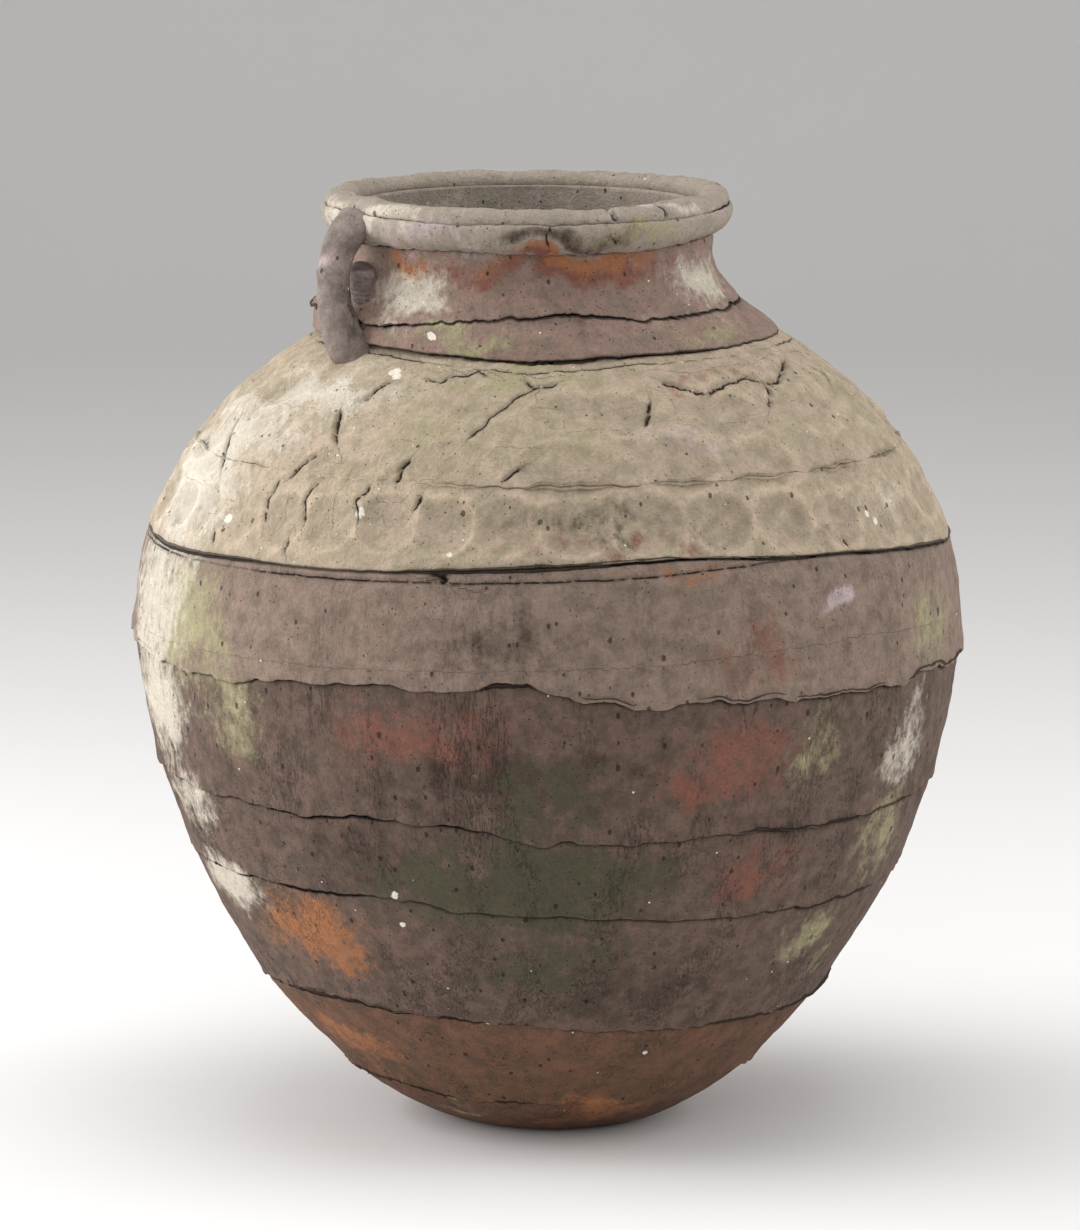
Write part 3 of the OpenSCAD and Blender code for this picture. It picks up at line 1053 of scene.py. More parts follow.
@dataclass(frozen=True)
class ClayFinish:
    """Fired, unglazed clay of one group of pieces.

    Attributes:
        name: material name.
        base, second: its two mottled tones.
        grain_size: how fine its sand is, 1 is normal and higher is finer.
        contrast: how strongly sand grains differ in tone.
        pits, flecks: share of cells that hold a pit or a pale fleck.
        streaks: strength of upright scraped streaks.
        relief: height of the grain in mm.
        roughness: roughness of its surface.
    """

    name: str
    base: tuple[float, float, float, float]
    second: tuple[float, float, float, float]
    grain_size: float = 1.0
    contrast: float = 0.55
    pits: float = 0.10
    flecks: float = 0.02
    streaks: float = 0.3
    relief: float = 0.9
    roughness: float = 0.88

    def material(self, groups: ClayGroups) -> bpy.types.Material:
        """Wire the clay's colour, roughness and relief from the shared groups.

        Args:
            groups: the shared shader groups.

        Returns:
            The material.
        """
        material = bpy.data.materials.new(self.name)
        material.use_nodes = True
        tree = material.node_tree
        tree.nodes.clear()
        wire = Wiring(tree)
        place = wire.add("ShaderNodeTexCoord").outputs["Object"]
        grain = wire.group(groups.grain, Vector=place, Size=self.grain_size)
        upright = wire.stretch(place, (1.0, 1.0, 0.62))
        pits = wire.group(groups.pits, Vector=upright, Scale=210.0, Amount=self.pits)
        pores = wire.group(groups.pits, Vector=place, Scale=520.0, Amount=self.pits * 1.6)
        streaks = wire.group(groups.scoring, Vector=wire.stretch(place, (1.0, 1.0, 0.12)), Scale=260.0)
        opening = wire.group(
            groups.opening, Vector=place,
            Distance=wire.attribute("line").outputs["Fac"], Open=wire.attribute("line_open").outputs["Fac"],
        )
        flecks = wire.group(
            groups.flecks, Vector=place, Cone=wire.attribute("fleck").outputs["Fac"], Amount=self.flecks
        )
        color = wire.mix(wire.rise(grain.outputs["Mottle"], 0.36, 0.66), self.base, self.second)
        first, second = wire.attribute("stain_a"), wire.attribute("stain_and_shade_b")
        channels: list[bpy.types.NodeSocket] = []
        for source in (first, second):
            split = wire.add("ShaderNodeSeparateColor")
            wire.feed(split.inputs[0], source.outputs["Color"])
            channels += [split.outputs[0], split.outputs[1], split.outputs[2], source.outputs["Alpha"]]
        order = (
            Stain.UMBER, Stain.RUST, Stain.OLIVE, Stain.OCHRE,
            Stain.KHAKI, Stain.LILAC, Stain.ASH, Stain.SOOT,
        )
        # The stains are laid over the clay's tone, and the painted shade on the strap's side goes last.
        for number, stain_and_shade in enumerate(order):
            color = wire.group(
                groups.stain_and_shade,
                Vector=wire.stretch(place, (1.0 + 0.07 * number, 1.0, 0.8)),
                Base=color, Stain=STAIN_AND_SHADE_TONES[stain_and_shade], Mask=channels[stain_and_shade.value], Scale=75.0 + 11.0 * number,
            ).outputs["Color"]
        shade = wire.math("MULTIPLY_ADD", grain.outputs["Sand"], 2.0 * self.contrast, 1.0 - self.contrast)
        # Painted shade in the hollows of the relief and a painted highlight on its crests.
        crest = wire.attribute("crest").outputs["Fac"]
        crest_highlight_hollow_shade = wire.math("MULTIPLY_ADD", wire.rise(crest, -1.4, 1.4), 0.5, 0.75)
        shade = wire.math("MULTIPLY", shade, crest_highlight_hollow_shade)
        scraped = wire.math("MULTIPLY_ADD", streaks.outputs["Mask"], -self.streaks, 1.0)
        shade = wire.math("MULTIPLY", shade, scraped)
        gray = wire.add("ShaderNodeCombineColor")
        for socket in gray.inputs:
            wire.feed(socket, shade)
        color = wire.mix(1.0, color, gray.outputs[0], "MULTIPLY")
        # Painted shade in the pits and pores.
        pit_shade = wire.math("MAXIMUM", pits.outputs["Mask"], pores.outputs["Mask"])
        color = wire.mix(wire.math("MULTIPLY", pit_shade, 0.72), color, RECESS_SHADE_TONE)
        color = wire.mix(flecks.outputs["Mask"], color, FLECK_TONE)
        # Painted shadow along the joints, under each lapping course.
        seam = wire.attribute("seam").outputs["Fac"]
        seam_dark = wire.math("MULTIPLY", wire.rise(seam, 0.25, 1.0), 0.75)
        # Painted shade in the cracks and scratched lines, painted shadow along the joints, and a faint
        # painted halo round the cracks.
        crack_seam_shade = wire.math("MAXIMUM", opening.outputs["Mask"], seam_dark)
        crack_seam_shade = wire.math("MAXIMUM", crack_seam_shade, wire.math("MULTIPLY", opening.outputs["Shade"], 0.3))
        color = wire.mix(crack_seam_shade, color, RECESS_SHADE_TONE)

        height = wire.math("MULTIPLY_ADD", pits.outputs["Mask"], -1.3, grain.outputs["Height"])
        height = wire.math("MULTIPLY_ADD", pores.outputs["Mask"], -0.7, height)
        height = wire.math("MULTIPLY_ADD", streaks.outputs["Height"], 1.4 * self.streaks, height)
        height = wire.math("MULTIPLY_ADD", streaks.outputs["Mask"], -0.8 * self.streaks, height)
        height = wire.math("MULTIPLY_ADD", opening.outputs["Mask"], -2.2, height)
        bump = wire.add("ShaderNodeBump")
        bump.inputs["Distance"].default_value = self.relief * MM
        bump.inputs["Strength"].default_value = 1.0
        wire.feed(bump.inputs["Height"], height)

        shader = wire.add("ShaderNodeBsdfPrincipled")
        shader.inputs["Specular IOR Level"].default_value = 0.25
        wire.feed(shader.inputs["Base Color"], color)
        rough = wire.math("MULTIPLY_ADD", grain.outputs["Sand"], 0.16, self.roughness - 0.08, clamp=True)
        wire.feed(shader.inputs["Roughness"], rough)
        wire.feed(shader.inputs["Normal"], bump.outputs["Normal"])
        output = wire.add("ShaderNodeOutputMaterial")
        tree.links.new(shader.outputs[0], output.inputs["Surface"])
        return material


FINISHES: dict[str, ClayFinish] = {
    "foot_clay": ClayFinish(
        "foot_clay_finish", tone(116, 84, 66), tone(96, 74, 60), contrast=0.6, pits=0.12, streaks=0.35
    ),
    "flank_clay": ClayFinish(
        "flank_clay_finish", tone(110, 90, 80), tone(88, 74, 64), contrast=0.6, pits=0.16, streaks=0.45
    ),
    "belly_clay": ClayFinish(
        "belly_clay_finish", tone(142, 122, 110), tone(120, 104, 92), contrast=0.55, pits=0.10, streaks=0.2
    ),
    "shoulder_clay": ClayFinish(
        "shoulder_clay_finish", tone(178, 160, 140), tone(156, 144, 122), grain_size=0.95,
        contrast=0.5, pits=0.08, flecks=0.05, streaks=0.0,
    ),
    "neck_clay": ClayFinish(
        "neck_clay_finish", tone(146, 120, 110), tone(128, 112, 100), grain_size=0.9,
        contrast=0.6, pits=0.10, flecks=0.05, streaks=0.0, relief=1.1,
    ),
    "rim_clay": ClayFinish(
        "rim_clay_finish", tone(160, 146, 136), tone(146, 138, 122), contrast=0.55, flecks=0.04, streaks=0.0
    ),
    "lug_clay": ClayFinish(
        "lug_clay_finish", tone(142, 130, 122), tone(116, 104, 98), grain_size=1.1, contrast=0.55,
        pits=0.05, streaks=0.1,
    ),
}


# ---------------------------------------------------------------- the jar


def frame_sizes() -> dict[str, Span]:
    """Boxes of all CAD nodes, in millimetres."""
    return {name: Span.of(name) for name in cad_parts}


@dataclass
class JarPlan:
    """Sizes and joints that the jar's pieces share, worked out from the frame."""

    spans: dict[str, Span]
    wall: float = 12.0
    lap: float = 10.0
    lap_step: float = 2.0
    belly_rise: float = 11.0

    def __post_init__(self) -> None:
        """Work out the outline and the joints."""
        span = self.spans
        belly = span["belly_course"]
        self.outline = BodyOutline(
            belly_r=belly.radius - self.lap_step,
            belly_z=belly.foot + self.belly_rise,
            top_r=span["neck_root"].radius,
            top_z=span["neck_root"].foot,
        )
        self.joints: dict[str, Joint] = {
            "base_bowl": Joint(0.0, ragged=0.0, step=0.0, groove=0.0, droop=0.0),
            "foot_course": Joint(
                span["foot_course"].foot,
                (
                    (-73, 5), (-44, 4), (-34, 0), (-20, -2), (6, -1), (24, 0), (34, 6), (53, 12),
                    (90, 5), (180, -4), (-120, 2),
                ),
                ragged=1.6, step=1.3, groove=1.8, droop=1.0, seed=21,
            ),
            "lower_course": Joint(
                span["lower_course"].foot,
                (
                    (-58, 8), (-43, 10), (-30, 5), (-4, 2), (7, -2), (26, -5), (59, -6), (100, 3),
                    (160, 0), (-130, -4),
                ),
                ragged=1.8, step=1.2, groove=1.6, droop=1.0, seed=22,
            ),
            "middle_course": Joint(
                span["middle_course"].foot,
                (
                    (-53, 7), (-39, 5), (-24, 8), (-12, 0), (2, -1), (25, -7), (50, -10), (90, -4),
                    (150, 3), (-120, 4),
                ),
                ragged=1.8, step=1.0, groove=1.5, droop=0.8, seed=23,
            ),
            "wall_course": Joint(
                span["wall_course"].foot,
                (
                    (-80, 14), (-64, 13), (-46, 10), (-38, 6), (-28, 12), (-16, 10), (-8, 7),
                    (-4, 1), (0, -5),
                    (1, 1), (10, -2), (28, 1), (38, -3), (54, -3), (69, 0), (84, 3), (130, -4),
                    (180, 3), (-130, 6),
                ),
                ragged=1.6, step=1.6, groove=2.0, droop=1.4, seed=24,
            ),
            "belly_course": Joint(
                span["belly_course"].foot,
                (
                    (-86, 3), (-60, -1), (-45, -2), (-44, 2), (-38, 4), (-20, 6), (-10, 6),
                    (-4, 14), (1, 2), (7, -2),
                    (13, -6), (24, -3), (26, -9), (30, -2), (41, -10), (46, -8), (59, -10),
                    (64, -4), (74, -10),
                    (110, -4), (150, 4), (-160, -2), (-120, 5),
                ),
                ragged=2.0, step=3.0, groove=3.0, droop=3.0, seed=25,
            ),
            "shoulder_lower_course": Joint(
                span["shoulder_lower_course"].foot,
                (
                    (-68, -8), (-46, -4), (-27, -3), (-18, -1), (-10, 1), (0, 3), (13, 6), (22, 6), (34, 3),
                    (48, 0), (60, -4), (82, -12), (130, -3), (180, 4), (-120, -2),
                ),
                ragged=0.5, step=0.7, groove=1.5, droop=0.4, seed=26,
            ),
            "shoulder_upper_course": Joint(
                span["shoulder_upper_course"].foot, ragged=1.5, step=0.2, groove=0.3, droop=0.0, seed=27
            ),
            "neck_root": Joint(
                span["neck_root"].foot,
                (
                    (-60, 5), (-45, 5), (-16, 2), (-6, 0), (18, 3), (40, 3), (60, 3), (100, 2),
                    (180, 0), (-120, 3),
                ),
                ragged=0.7, step=0.8, groove=1.2, droop=0.4, seed=28,
            ),
            "neck_collar": Joint(
                span["neck_collar"].foot,
                ((-41, -5), (-21, 0), (-2, 3), (9, 5), (20, 3), (34, -1), (80, 1), (180, 0), (-100, -2)),
                ragged=1.4, step=0.6, groove=1.2, droop=0.5, seed=29,
            ),
            "rim_roll": Joint(
                span["rim_roll"].foot, ((-70, -1), (-20, 1), (30, -1), (80, 2), (180, 0)),
                ragged=1.0, step=0.4, groove=1.0, droop=0.5, seed=30,
            ),
            "lip_roll": Joint(
                span["lip_roll"].foot,
                ((-80, 1), (-60, 2), (-30, 0), (10, -1), (45, 0), (62, 1), (80, 2), (180, 0)),
                ragged=0.6, step=0.5, groove=1.4, droop=0.5, seed=31,
            ),
        }


@dataclass
class Body:
    """The jar's body: the pinched bowl and the seven courses above it."""

    plan: JarPlan
    pitch: float = 1.45
    lap_rows: int = 4
    inner_rows: int = 9
    floor: float = 20.0
    foot_edge: float = 5.0
    joint_gap: float = 0.15
    names: tuple[str, ...] = (
        "foot_course", "lower_course", "middle_course", "wall_course",
        "belly_course", "shoulder_lower_course", "shoulder_upper_course",
    )
    slots: tuple[str, ...] = (
        "foot_clay", "flank_clay", "flank_clay", "flank_clay",
        "belly_clay", "shoulder_clay", "shoulder_clay",
    )

    def build(self) -> list[bpy.types.Object]:
        """Build the bowl and the courses, from the foot up."""
        pieces = [self.bowl()]
        upper_names = [*self.names[1:], "neck_root"]
        for name, upper, slot in zip(self.names, upper_names, self.slots):
            pieces.append(self.course(name, upper, slot))
        return pieces

    def lap_face(
        self, start: tuple[np.ndarray, np.ndarray], end: tuple[np.ndarray, np.ndarray]
    ) -> tuple[np.ndarray, np.ndarray]:
        """Rows of a joint's face between two edges, without the edges themselves."""
        share = (np.arange(1, self.lap_rows + 1) / (self.lap_rows + 1))[:, None]
        share = share * 0.75 + 0.25 * share**2 + 0.12 * (1.0 - share)
        return start[0] + (end[0] - start[0]) * share, start[1] + (end[1] - start[1]) * share

    def course(self, name: str, upper: str, slot: str) -> bpy.types.Object:
        """Build one course.

        Its outer face runs between the wavy joints below and above, its joint faces
        slope up inwards by the lap, and its inner face lies one wall behind.
        """
        plan, outline = self.plan, self.plan.outline
        columns = Columns()
        azimuth = columns.azimuths()
        below, above = plan.joints[name], plan.joints[upper]
        z_low, z_high = below.at(azimuth)[None, :], above.at(azimuth)[None, :]
        run = np.linspace(below.height, above.height, 60)
        length = float(np.sum(np.hypot(np.diff(run), np.diff(outline.radius(run)))))
        share = spaced(length, self.pitch)[:, None]
        z_outer = z_low + (z_high - z_low) * share
        r_outer = outline.radius(z_outer)
        level_top = upper == "neck_root"
        inner_top = above.height + plan.lap if not level_top else above.height + plan.wall
        inner_low = below.height + plan.lap
        z_behind = inner_top + (inner_low - inner_top) * np.linspace(0.0, 1.0, self.inner_rows)[:, None]
        r_inner, z_inner = outline.inside(z_behind + 0.0 * z_low, plan.wall)
        if level_top:
            z_inner = np.minimum(z_inner, above.height)
        top = self.lap_face((r_outer[-1:], z_outer[-1:]), (r_inner[:1], z_inner[:1]))
        bottom = self.lap_face((r_inner[-1:], z_inner[-1:]), (r_outer[:1], z_outer[:1]))
        bottom = (bottom[0], bottom[1] + self.joint_gap)
        shape = RingShape.stacked(
            [(1, r_outer, z_outer), (0, *top), (-1, r_inner, z_inner), (0, *bottom)], 0.0
        )
        working = Working(seed=11, stroke_lean=0.0)
        if "shoulder" in name:
            working = Working(sway=2.0, lump=0.7, stroke=0.5, grit=0.26, stroke_lean=35.0, seed=11)
        ring = ClayRing(name, slot, shape, marks_for(name, plan), working, below, above, columns)
        return ring.build()

    def bowl(self) -> bpy.types.Object:
        """Build the pinched bowl: foot, flank, joint, inner face and floor, closed at both poles."""
        plan, outline = self.plan, self.plan.outline
        columns = Columns(640)
        azimuth = columns.azimuths()
        above = plan.joints["foot_course"]
        z_high = above.at(azimuth)[None, :]
        foot_r = outline.foot_r - self.foot_edge
        under_r = foot_r * np.linspace(0.04, 1.0, 12)[:, None] + 0.0 * z_high
        under_z = 1.2 * np.clip(1.0 - (under_r / (foot_r * 0.9)) ** 4, 0.0, 1.0)
        start = self.foot_edge / 2.0
        share = spaced(66.0, self.pitch)[1:, None]
        z_outer = start + (z_high - start) * share
        edge = np.clip(1.0 - (z_outer - start) / 6.0, 0.0, 1.0) ** 2
        r_outer = outline.radius(z_outer) - 1.0 * edge
        z_behind = np.linspace(above.height + plan.lap, 12.0, 14)[:, None] + 0.0 * z_high
        r_inner, z_inner = outline.inside(z_behind, plan.wall)
        z_inner = np.maximum(z_inner, self.floor + 1.0)
        floor_r = (float(r_inner[-1, 0]) - 2.0) * np.linspace(1.0, 0.04, 14)[:, None] + 0.0 * z_high
        floor_z = np.full(floor_r.shape, self.floor)
        top = self.lap_face((r_outer[-1:], z_outer[-1:]), (r_inner[:1], z_inner[:1]))
        shape = RingShape.stacked(
            [
                (-1, under_r, under_z), (1, r_outer, z_outer), (0, *top),
                (-1, r_inner, z_inner), (-1, floor_r, floor_z),
            ],
            0.0, ring=False,
        )
        working = Working(sway=0.8, lump=0.5, stroke=0.2, grit=0.2, seed=11)
        ring = ClayRing(
            "base_bowl", "foot_clay", shape, marks_for("base_bowl", plan), working,
            plan.joints["base_bowl"], above, columns,
        )
        return ring.build()


@dataclass
class Neck:
    """The leaning root, the collar, the rim roll and the lip."""

    plan: JarPlan
    pitch: float = 1.2
    wall: float = 12.0
    flare_h: float = 31.0
    flare_power: float = 1.8
    roll_peak: float = 0.78
    lip_w: float = 20.0

    def __post_init__(self) -> None:
        """Read radii and the axis from the frame."""
        span = self.plan.spans
        self.axis_x = span["neck_collar"].axis_x
        self.foot_r = span["neck_collar"].radius
        self.roll_r = span["rim_roll"].radius
        self.lip_r = span["lip_roll"].radius
        self.throat_r = self.lip_r - self.lip_w - 3.0
        self.neck_r = self.throat_r + self.wall

    def build(self) -> list[bpy.types.Object]:
        """Build the four rings from the root up."""
        return [self.root(), self.collar(), self.roll(), self.lip()]

    def level(self, start: tuple, end: tuple, rows: int) -> tuple[np.ndarray, np.ndarray]:
        """Rows of a level face between two edges, without the edges themselves."""
        share = (np.arange(1, rows + 1) / (rows + 1))[:, None]
        return start[0] + (end[0] - start[0]) * share, start[1] + (end[1] - start[1]) * share

    def ring(
        self, name: str, upper: Joint, slot: str, outer: tuple, inner: tuple, axis_x: object, working: Working
    ) -> bpy.types.Object:
        """Close a ring between an outer and an inner face and work its surface."""
        top = self.level((outer[0][-1:], outer[1][-1:]), (inner[0][:1], inner[1][:1]), 5)
        bottom = self.level((inner[0][-1:], inner[1][-1:]), (outer[0][:1], outer[1][:1]), 5)
        shape = RingShape.stacked([(1, *outer), (0, *top), (-1, *inner), (0, *bottom)], 0.0)
        if callable(axis_x):
            shape.axis_x = axis_x(shape.height)
        else:
            shape.axis_x = np.full(shape.radius.shape, axis_x)
        below = self.plan.joints[name]
        return ClayRing(
            name, slot, shape, marks_for(name, self.plan), working, below, upper, Columns()
        ).build()

    def root(self) -> bpy.types.Object:
        """Leaning ring: radius eases from the shoulder's top to the neck's foot as the axis moves over."""
        plan = self.plan
        azimuth = Columns().azimuths()
        below, above = plan.joints["neck_root"], plan.joints["neck_collar"]
        z_low, z_high = below.at(azimuth)[None, :], above.at(azimuth)[None, :]
        share = spaced(28.0, self.pitch)[:, None]
        z_outer = z_low + (z_high - z_low) * share
        tall = above.height - below.height

        def ahead(z: np.ndarray) -> np.ndarray:
            """Share of the way up the root."""
            return np.clip((z - below.height) / tall, 0.0, 1.0)

        top_r = plan.outline.top_r
        r_outer = top_r + (self.foot_r - top_r) * ahead(z_outer) ** 1.25
        drop = np.clip(z_outer - below.height, None, 0.0)
        r_outer = np.where(drop < 0.0, plan.outline.radius(np.minimum(z_outer, below.height)), r_outer)
        z_inner = np.linspace(1.0, 0.0, 16)[:, None] * tall + below.height + 0.0 * z_low
        seat_r = float(plan.outline.inside(np.array([below.height + plan.wall]), plan.wall)[0][0])
        r_inner = np.maximum(self.throat_r, seat_r + (self.throat_r - seat_r) * (ahead(z_inner) * 1.6))
        return self.ring(
            "neck_root", above, "neck_clay", (r_outer, z_outer), (r_inner, z_inner),
            lambda z: self.axis_x * ahead(z), Working(sway=1.2, lump=0.9, stroke=0.4, grit=0.3, seed=41),
        )

    def collar(self) -> bpy.types.Object:
        """Neck: its narrow radius plus the flare times (1 - t) to the flare's power."""
        plan = self.plan
        azimuth = Columns().azimuths()
        below, above = plan.joints["neck_collar"], plan.joints["rim_roll"]
        z_low, z_high = below.at(azimuth)[None, :], above.at(azimuth)[None, :]
        share = spaced(50.0, self.pitch)[:, None]
        z_outer = z_low + (z_high - z_low) * share
        t = (z_outer - below.height) / self.flare_h
        r_outer = self.neck_r + (self.foot_r - self.neck_r) * np.clip(1.0 - t, 0.0, 1.15) ** self.flare_power
        tall = above.height - below.height
        z_inner = np.linspace(1.0, 0.0, 22)[:, None] * tall + below.height + 0.0 * z_low
        r_inner = np.full(z_inner.shape, self.throat_r)
        return self.ring(
            "neck_collar", above, "neck_clay", (r_outer, z_outer), (r_inner, z_inner), self.axis_x,
            Working(sway=1.3, lump=0.9, stroke=0.5, grit=0.34, seed=41),
        )

    def roll(self) -> bpy.types.Object:
        """Rim roll: a quarter ellipse out to its peak and another one back in to the lip."""
        plan = self.plan
        azimuth = Columns().azimuths()
        below, above = plan.joints["rim_roll"], plan.joints["lip_roll"]
        z_low, z_high = below.at(azimuth)[None, :], above.at(azimuth)[None, :]
        share = spaced(32.0, 1.0)[:, None]
        peak = self.roll_peak
        tall = z_high - z_low
        under = np.clip(share / 0.72, 0.0, 1.0) * math.pi / 2.0
        over = np.clip((share - 0.72) / 0.28, 0.0, 1.0) * math.pi / 2.0
        r_outer = self.neck_r + (self.roll_r - self.neck_r) * np.sin(under)
        r_outer = r_outer - 4.0 * (1.0 - np.cos(over)) + 0.0 * z_low
        z_outer = z_low + tall * (peak * (1.0 - np.cos(under)) + (1.0 - peak) * np.sin(over))
        deep = above.height - below.height
        z_inner = np.linspace(1.0, 0.0, 12)[:, None] * deep + below.height + 0.0 * z_low
        r_inner = np.full(z_inner.shape, self.throat_r)
        return self.ring(
            "rim_roll", above, "rim_clay", (r_outer, z_outer), (r_inner, z_inner), self.axis_x,
            Working(sway=1.2, lump=0.8, stroke=0.3, grit=0.22, seed=51),
        )

    def lip(self) -> bpy.types.Object:
        """Lip: half an ellipse over its seat, thicker and thinner round the mouth."""
        plan = self.plan
        columns = Columns()
        azimuth = columns.azimuths()
        below = plan.joints["lip_roll"]
        z_low = below.at(azimuth)[None, :]
        tall = plan.spans["lip_roll"].top - below.height
        thick = 1.0 + 0.10 * below.wander(azimuth, 90.0)[None, :]
        notch = np.exp(-(((azimuth - 25.5 + 180.0) % 360.0 - 180.0) / 1.1) ** 2)[None, :]
        swing = np.linspace(-0.12, 1.12, 36)[:, None] * math.pi
        centre_r = self.lip_r - self.lip_w / 2.0
        wave = 1.6 * below.wander(azimuth, 120.0)[None, :]
        r_outer = centre_r + self.lip_w / 2.0 * np.cos(swing) * thick
        z_outer = z_low + 1.2 + (tall - 1.2) * np.sin(swing) * thick + wave * np.clip(np.sin(swing), 0.0, 1.0)
        z_outer = z_outer - 3.2 * notch * np.clip(np.sin(swing), 0.0, 1.0)
        seat_r = np.linspace(-0.6, 0.6, 6)[:, None] * self.lip_w / 2.0 + centre_r + 0.0 * z_low
        seat_z = z_low - 0.8 + 0.0 * seat_r
        shape = RingShape.stacked([(1, r_outer, z_outer), (0, seat_r, seat_z)], self.axis_x)
        shape.low = np.where(shape.face == 1, np.minimum(shape.low, shape.high), FAR)
        shape.high = np.full(shape.low.shape, FAR)
        ring = ClayRing(
            "lip_roll", "rim_clay", shape, marks_for("lip_roll", plan),
            Working(sway=0.6, lump=0.7, stroke=0.2, grit=0.25, seed=61),
            Joint(below.height, step=0.0, groove=0.4, droop=0.0, seed=31), Joint(0.0, groove=0.0), columns,
        )
        return ring.build()


@dataclass
class Lug:
    """The bowed strap under the rim and the stump of an older one behind it."""

    plan: JarPlan
    neck: Neck
    azimuth: float = -55.0
    bow_r: float = 59.5
    bow_rise: float = 9.0
    gap: float = 21.0
    roll_d: float = 23.0
    foot_d: float = 29.0
    stump_azimuth: float = -60.0
    stump_out: float = 12.0
    stump_d: float = 17.0

    def build(self) -> list[bpy.types.Object]:
        """Build the strap and the stump."""
        return [self.strap(), self.stump()]

    def tube(
        self, node: str, path: np.ndarray, side: np.ndarray, out: np.ndarray,
        half_side: np.ndarray, half_out: np.ndarray, working: Working, marks: HandMarks,
        columns: int,
    ) -> bpy.types.Object:
        """Sweep a rounded section along a path and close both ends.

        Args:
            node: CAD node that the piece stands for.
            path: middle of the section at each row, in mm.
            side, out: directions of the section's two half widths.
            half_side, half_out: the half widths at each row, in mm.
            working: roughness of the surface.
            marks: stains, painted shade and flecks.
            columns: points round the section.
        """
        turn = np.arange(columns) / columns * 2.0 * math.pi
        points = (
            path[:, None, :]
            + half_side[:, None, None] * np.cos(turn)[None, :, None] * side[:, None, :]
            + half_out[:, None, None] * np.sin(turn)[None, :, None] * out[:, None, :]
        )
        normal = grid_normals(points, False)
        centre = path[:, None, :]
        outward = np.sum(normal * (points - centre), axis=-1, keepdims=True)
        if float(outward.mean()) < 0.0:
            points = points[:, ::-1]
            normal = grid_normals(points, False)
        across = points[..., 0] - self.neck.axis_x
        place_azimuth = np.degrees(np.arctan2(across, -points[..., 1]))
        radius = np.hypot(across, points[..., 1])
        skin = Skin(place_azimuth, points[..., 2], radius, np.ones(radius.shape), points)
        line, line_open, line_depth = marks.openings(skin)
        relief = working.relief(skin) - marks.hollows(skin) + marks.swellings(skin)
        taper = np.minimum(1.0, np.minimum(np.arange(len(path)), np.arange(len(path))[::-1]) / 4.0)
        finished = points + normal * ((relief - line_depth) * taper[:, None])[..., None]
        stains_and_shade = marks.stains_and_shade(skin)
        values = {
            "line": line, "line_open": line_open, "crest": relief - softened(relief, 6),
            "seam": np.zeros(radius.shape), "fleck": marks.spots(skin), "inside": np.zeros(radius.shape),
            "stain_a": stains_and_shade[..., :4], "stain_and_shade_b": stains_and_shade[..., 4:],
        }
        piece = grid_piece(node + "_clay", finished, False, values)
        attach(piece, "root")
        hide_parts(node)
        LOG.info("%s: %d faces", piece.name, len(piece.data.polygons))
        return piece

    def strap(self) -> bpy.types.Object:
        """Strap: a clay roll along an arc, thicker at its foot and spread at its top."""
        neck, plan = self.neck, self.plan
        neck_z = plan.joints["neck_collar"].height
        centre_z = neck_z + self.bow_rise
        centre_out = neck.neck_r + self.gap + self.roll_d / 2.0 - self.bow_r
        low = -math.asin((centre_z - plan.spans["lug_strap"].foot - 1.0) / self.bow_r)
        high = math.asin((plan.spans["lug_strap"].top - 2.0 - centre_z) / self.bow_r)
        swing = np.linspace(low, high, 110)
        share = (swing - low) / (high - low)
        drift = np.radians(self.azimuth + 3.0 * np.cos(share * math.pi))
        out = np.stack([np.sin(drift), -np.cos(drift), np.zeros_like(drift)], axis=-1)
        side = np.stack([np.cos(drift), np.sin(drift), np.zeros_like(drift)], axis=-1)
        reach = centre_out + self.bow_r * np.cos(swing)
        path = out * reach[:, None]
        path[:, 0] += neck.axis_x
        path[:, 2] += centre_z + self.bow_r * np.sin(swing)
        tilt = np.cos(swing)[:, None] * out
        tilt[:, 2] += np.sin(swing)
        half = self.roll_d / 2.0
        foot = np.exp(-((share / 0.22) ** 2)) * (self.foot_d / 2.0 - half)
        head = np.exp(-(((1.0 - share) / 0.16) ** 2)) * 6.0
        end = np.clip(np.minimum(share, 1.0 - share) / 0.03, 0.0, 1.0)
        cap = np.sqrt(np.clip(1.0 - (1.0 - end) ** 2, 0.02, 1.0))
        half_side = (half + 0.3 + foot * 1.3 + head) * cap
        half_out = (half - 0.6 + foot * 0.8 - 0.1 * head) * cap
        return self.tube(
            "lug_strap", path, side, tilt, half_side, half_out,
            Working(sway=1.0, lump=1.1, stroke=0.3, grit=0.3, seed=81), marks_for("lug_strap", plan), 120,
        )

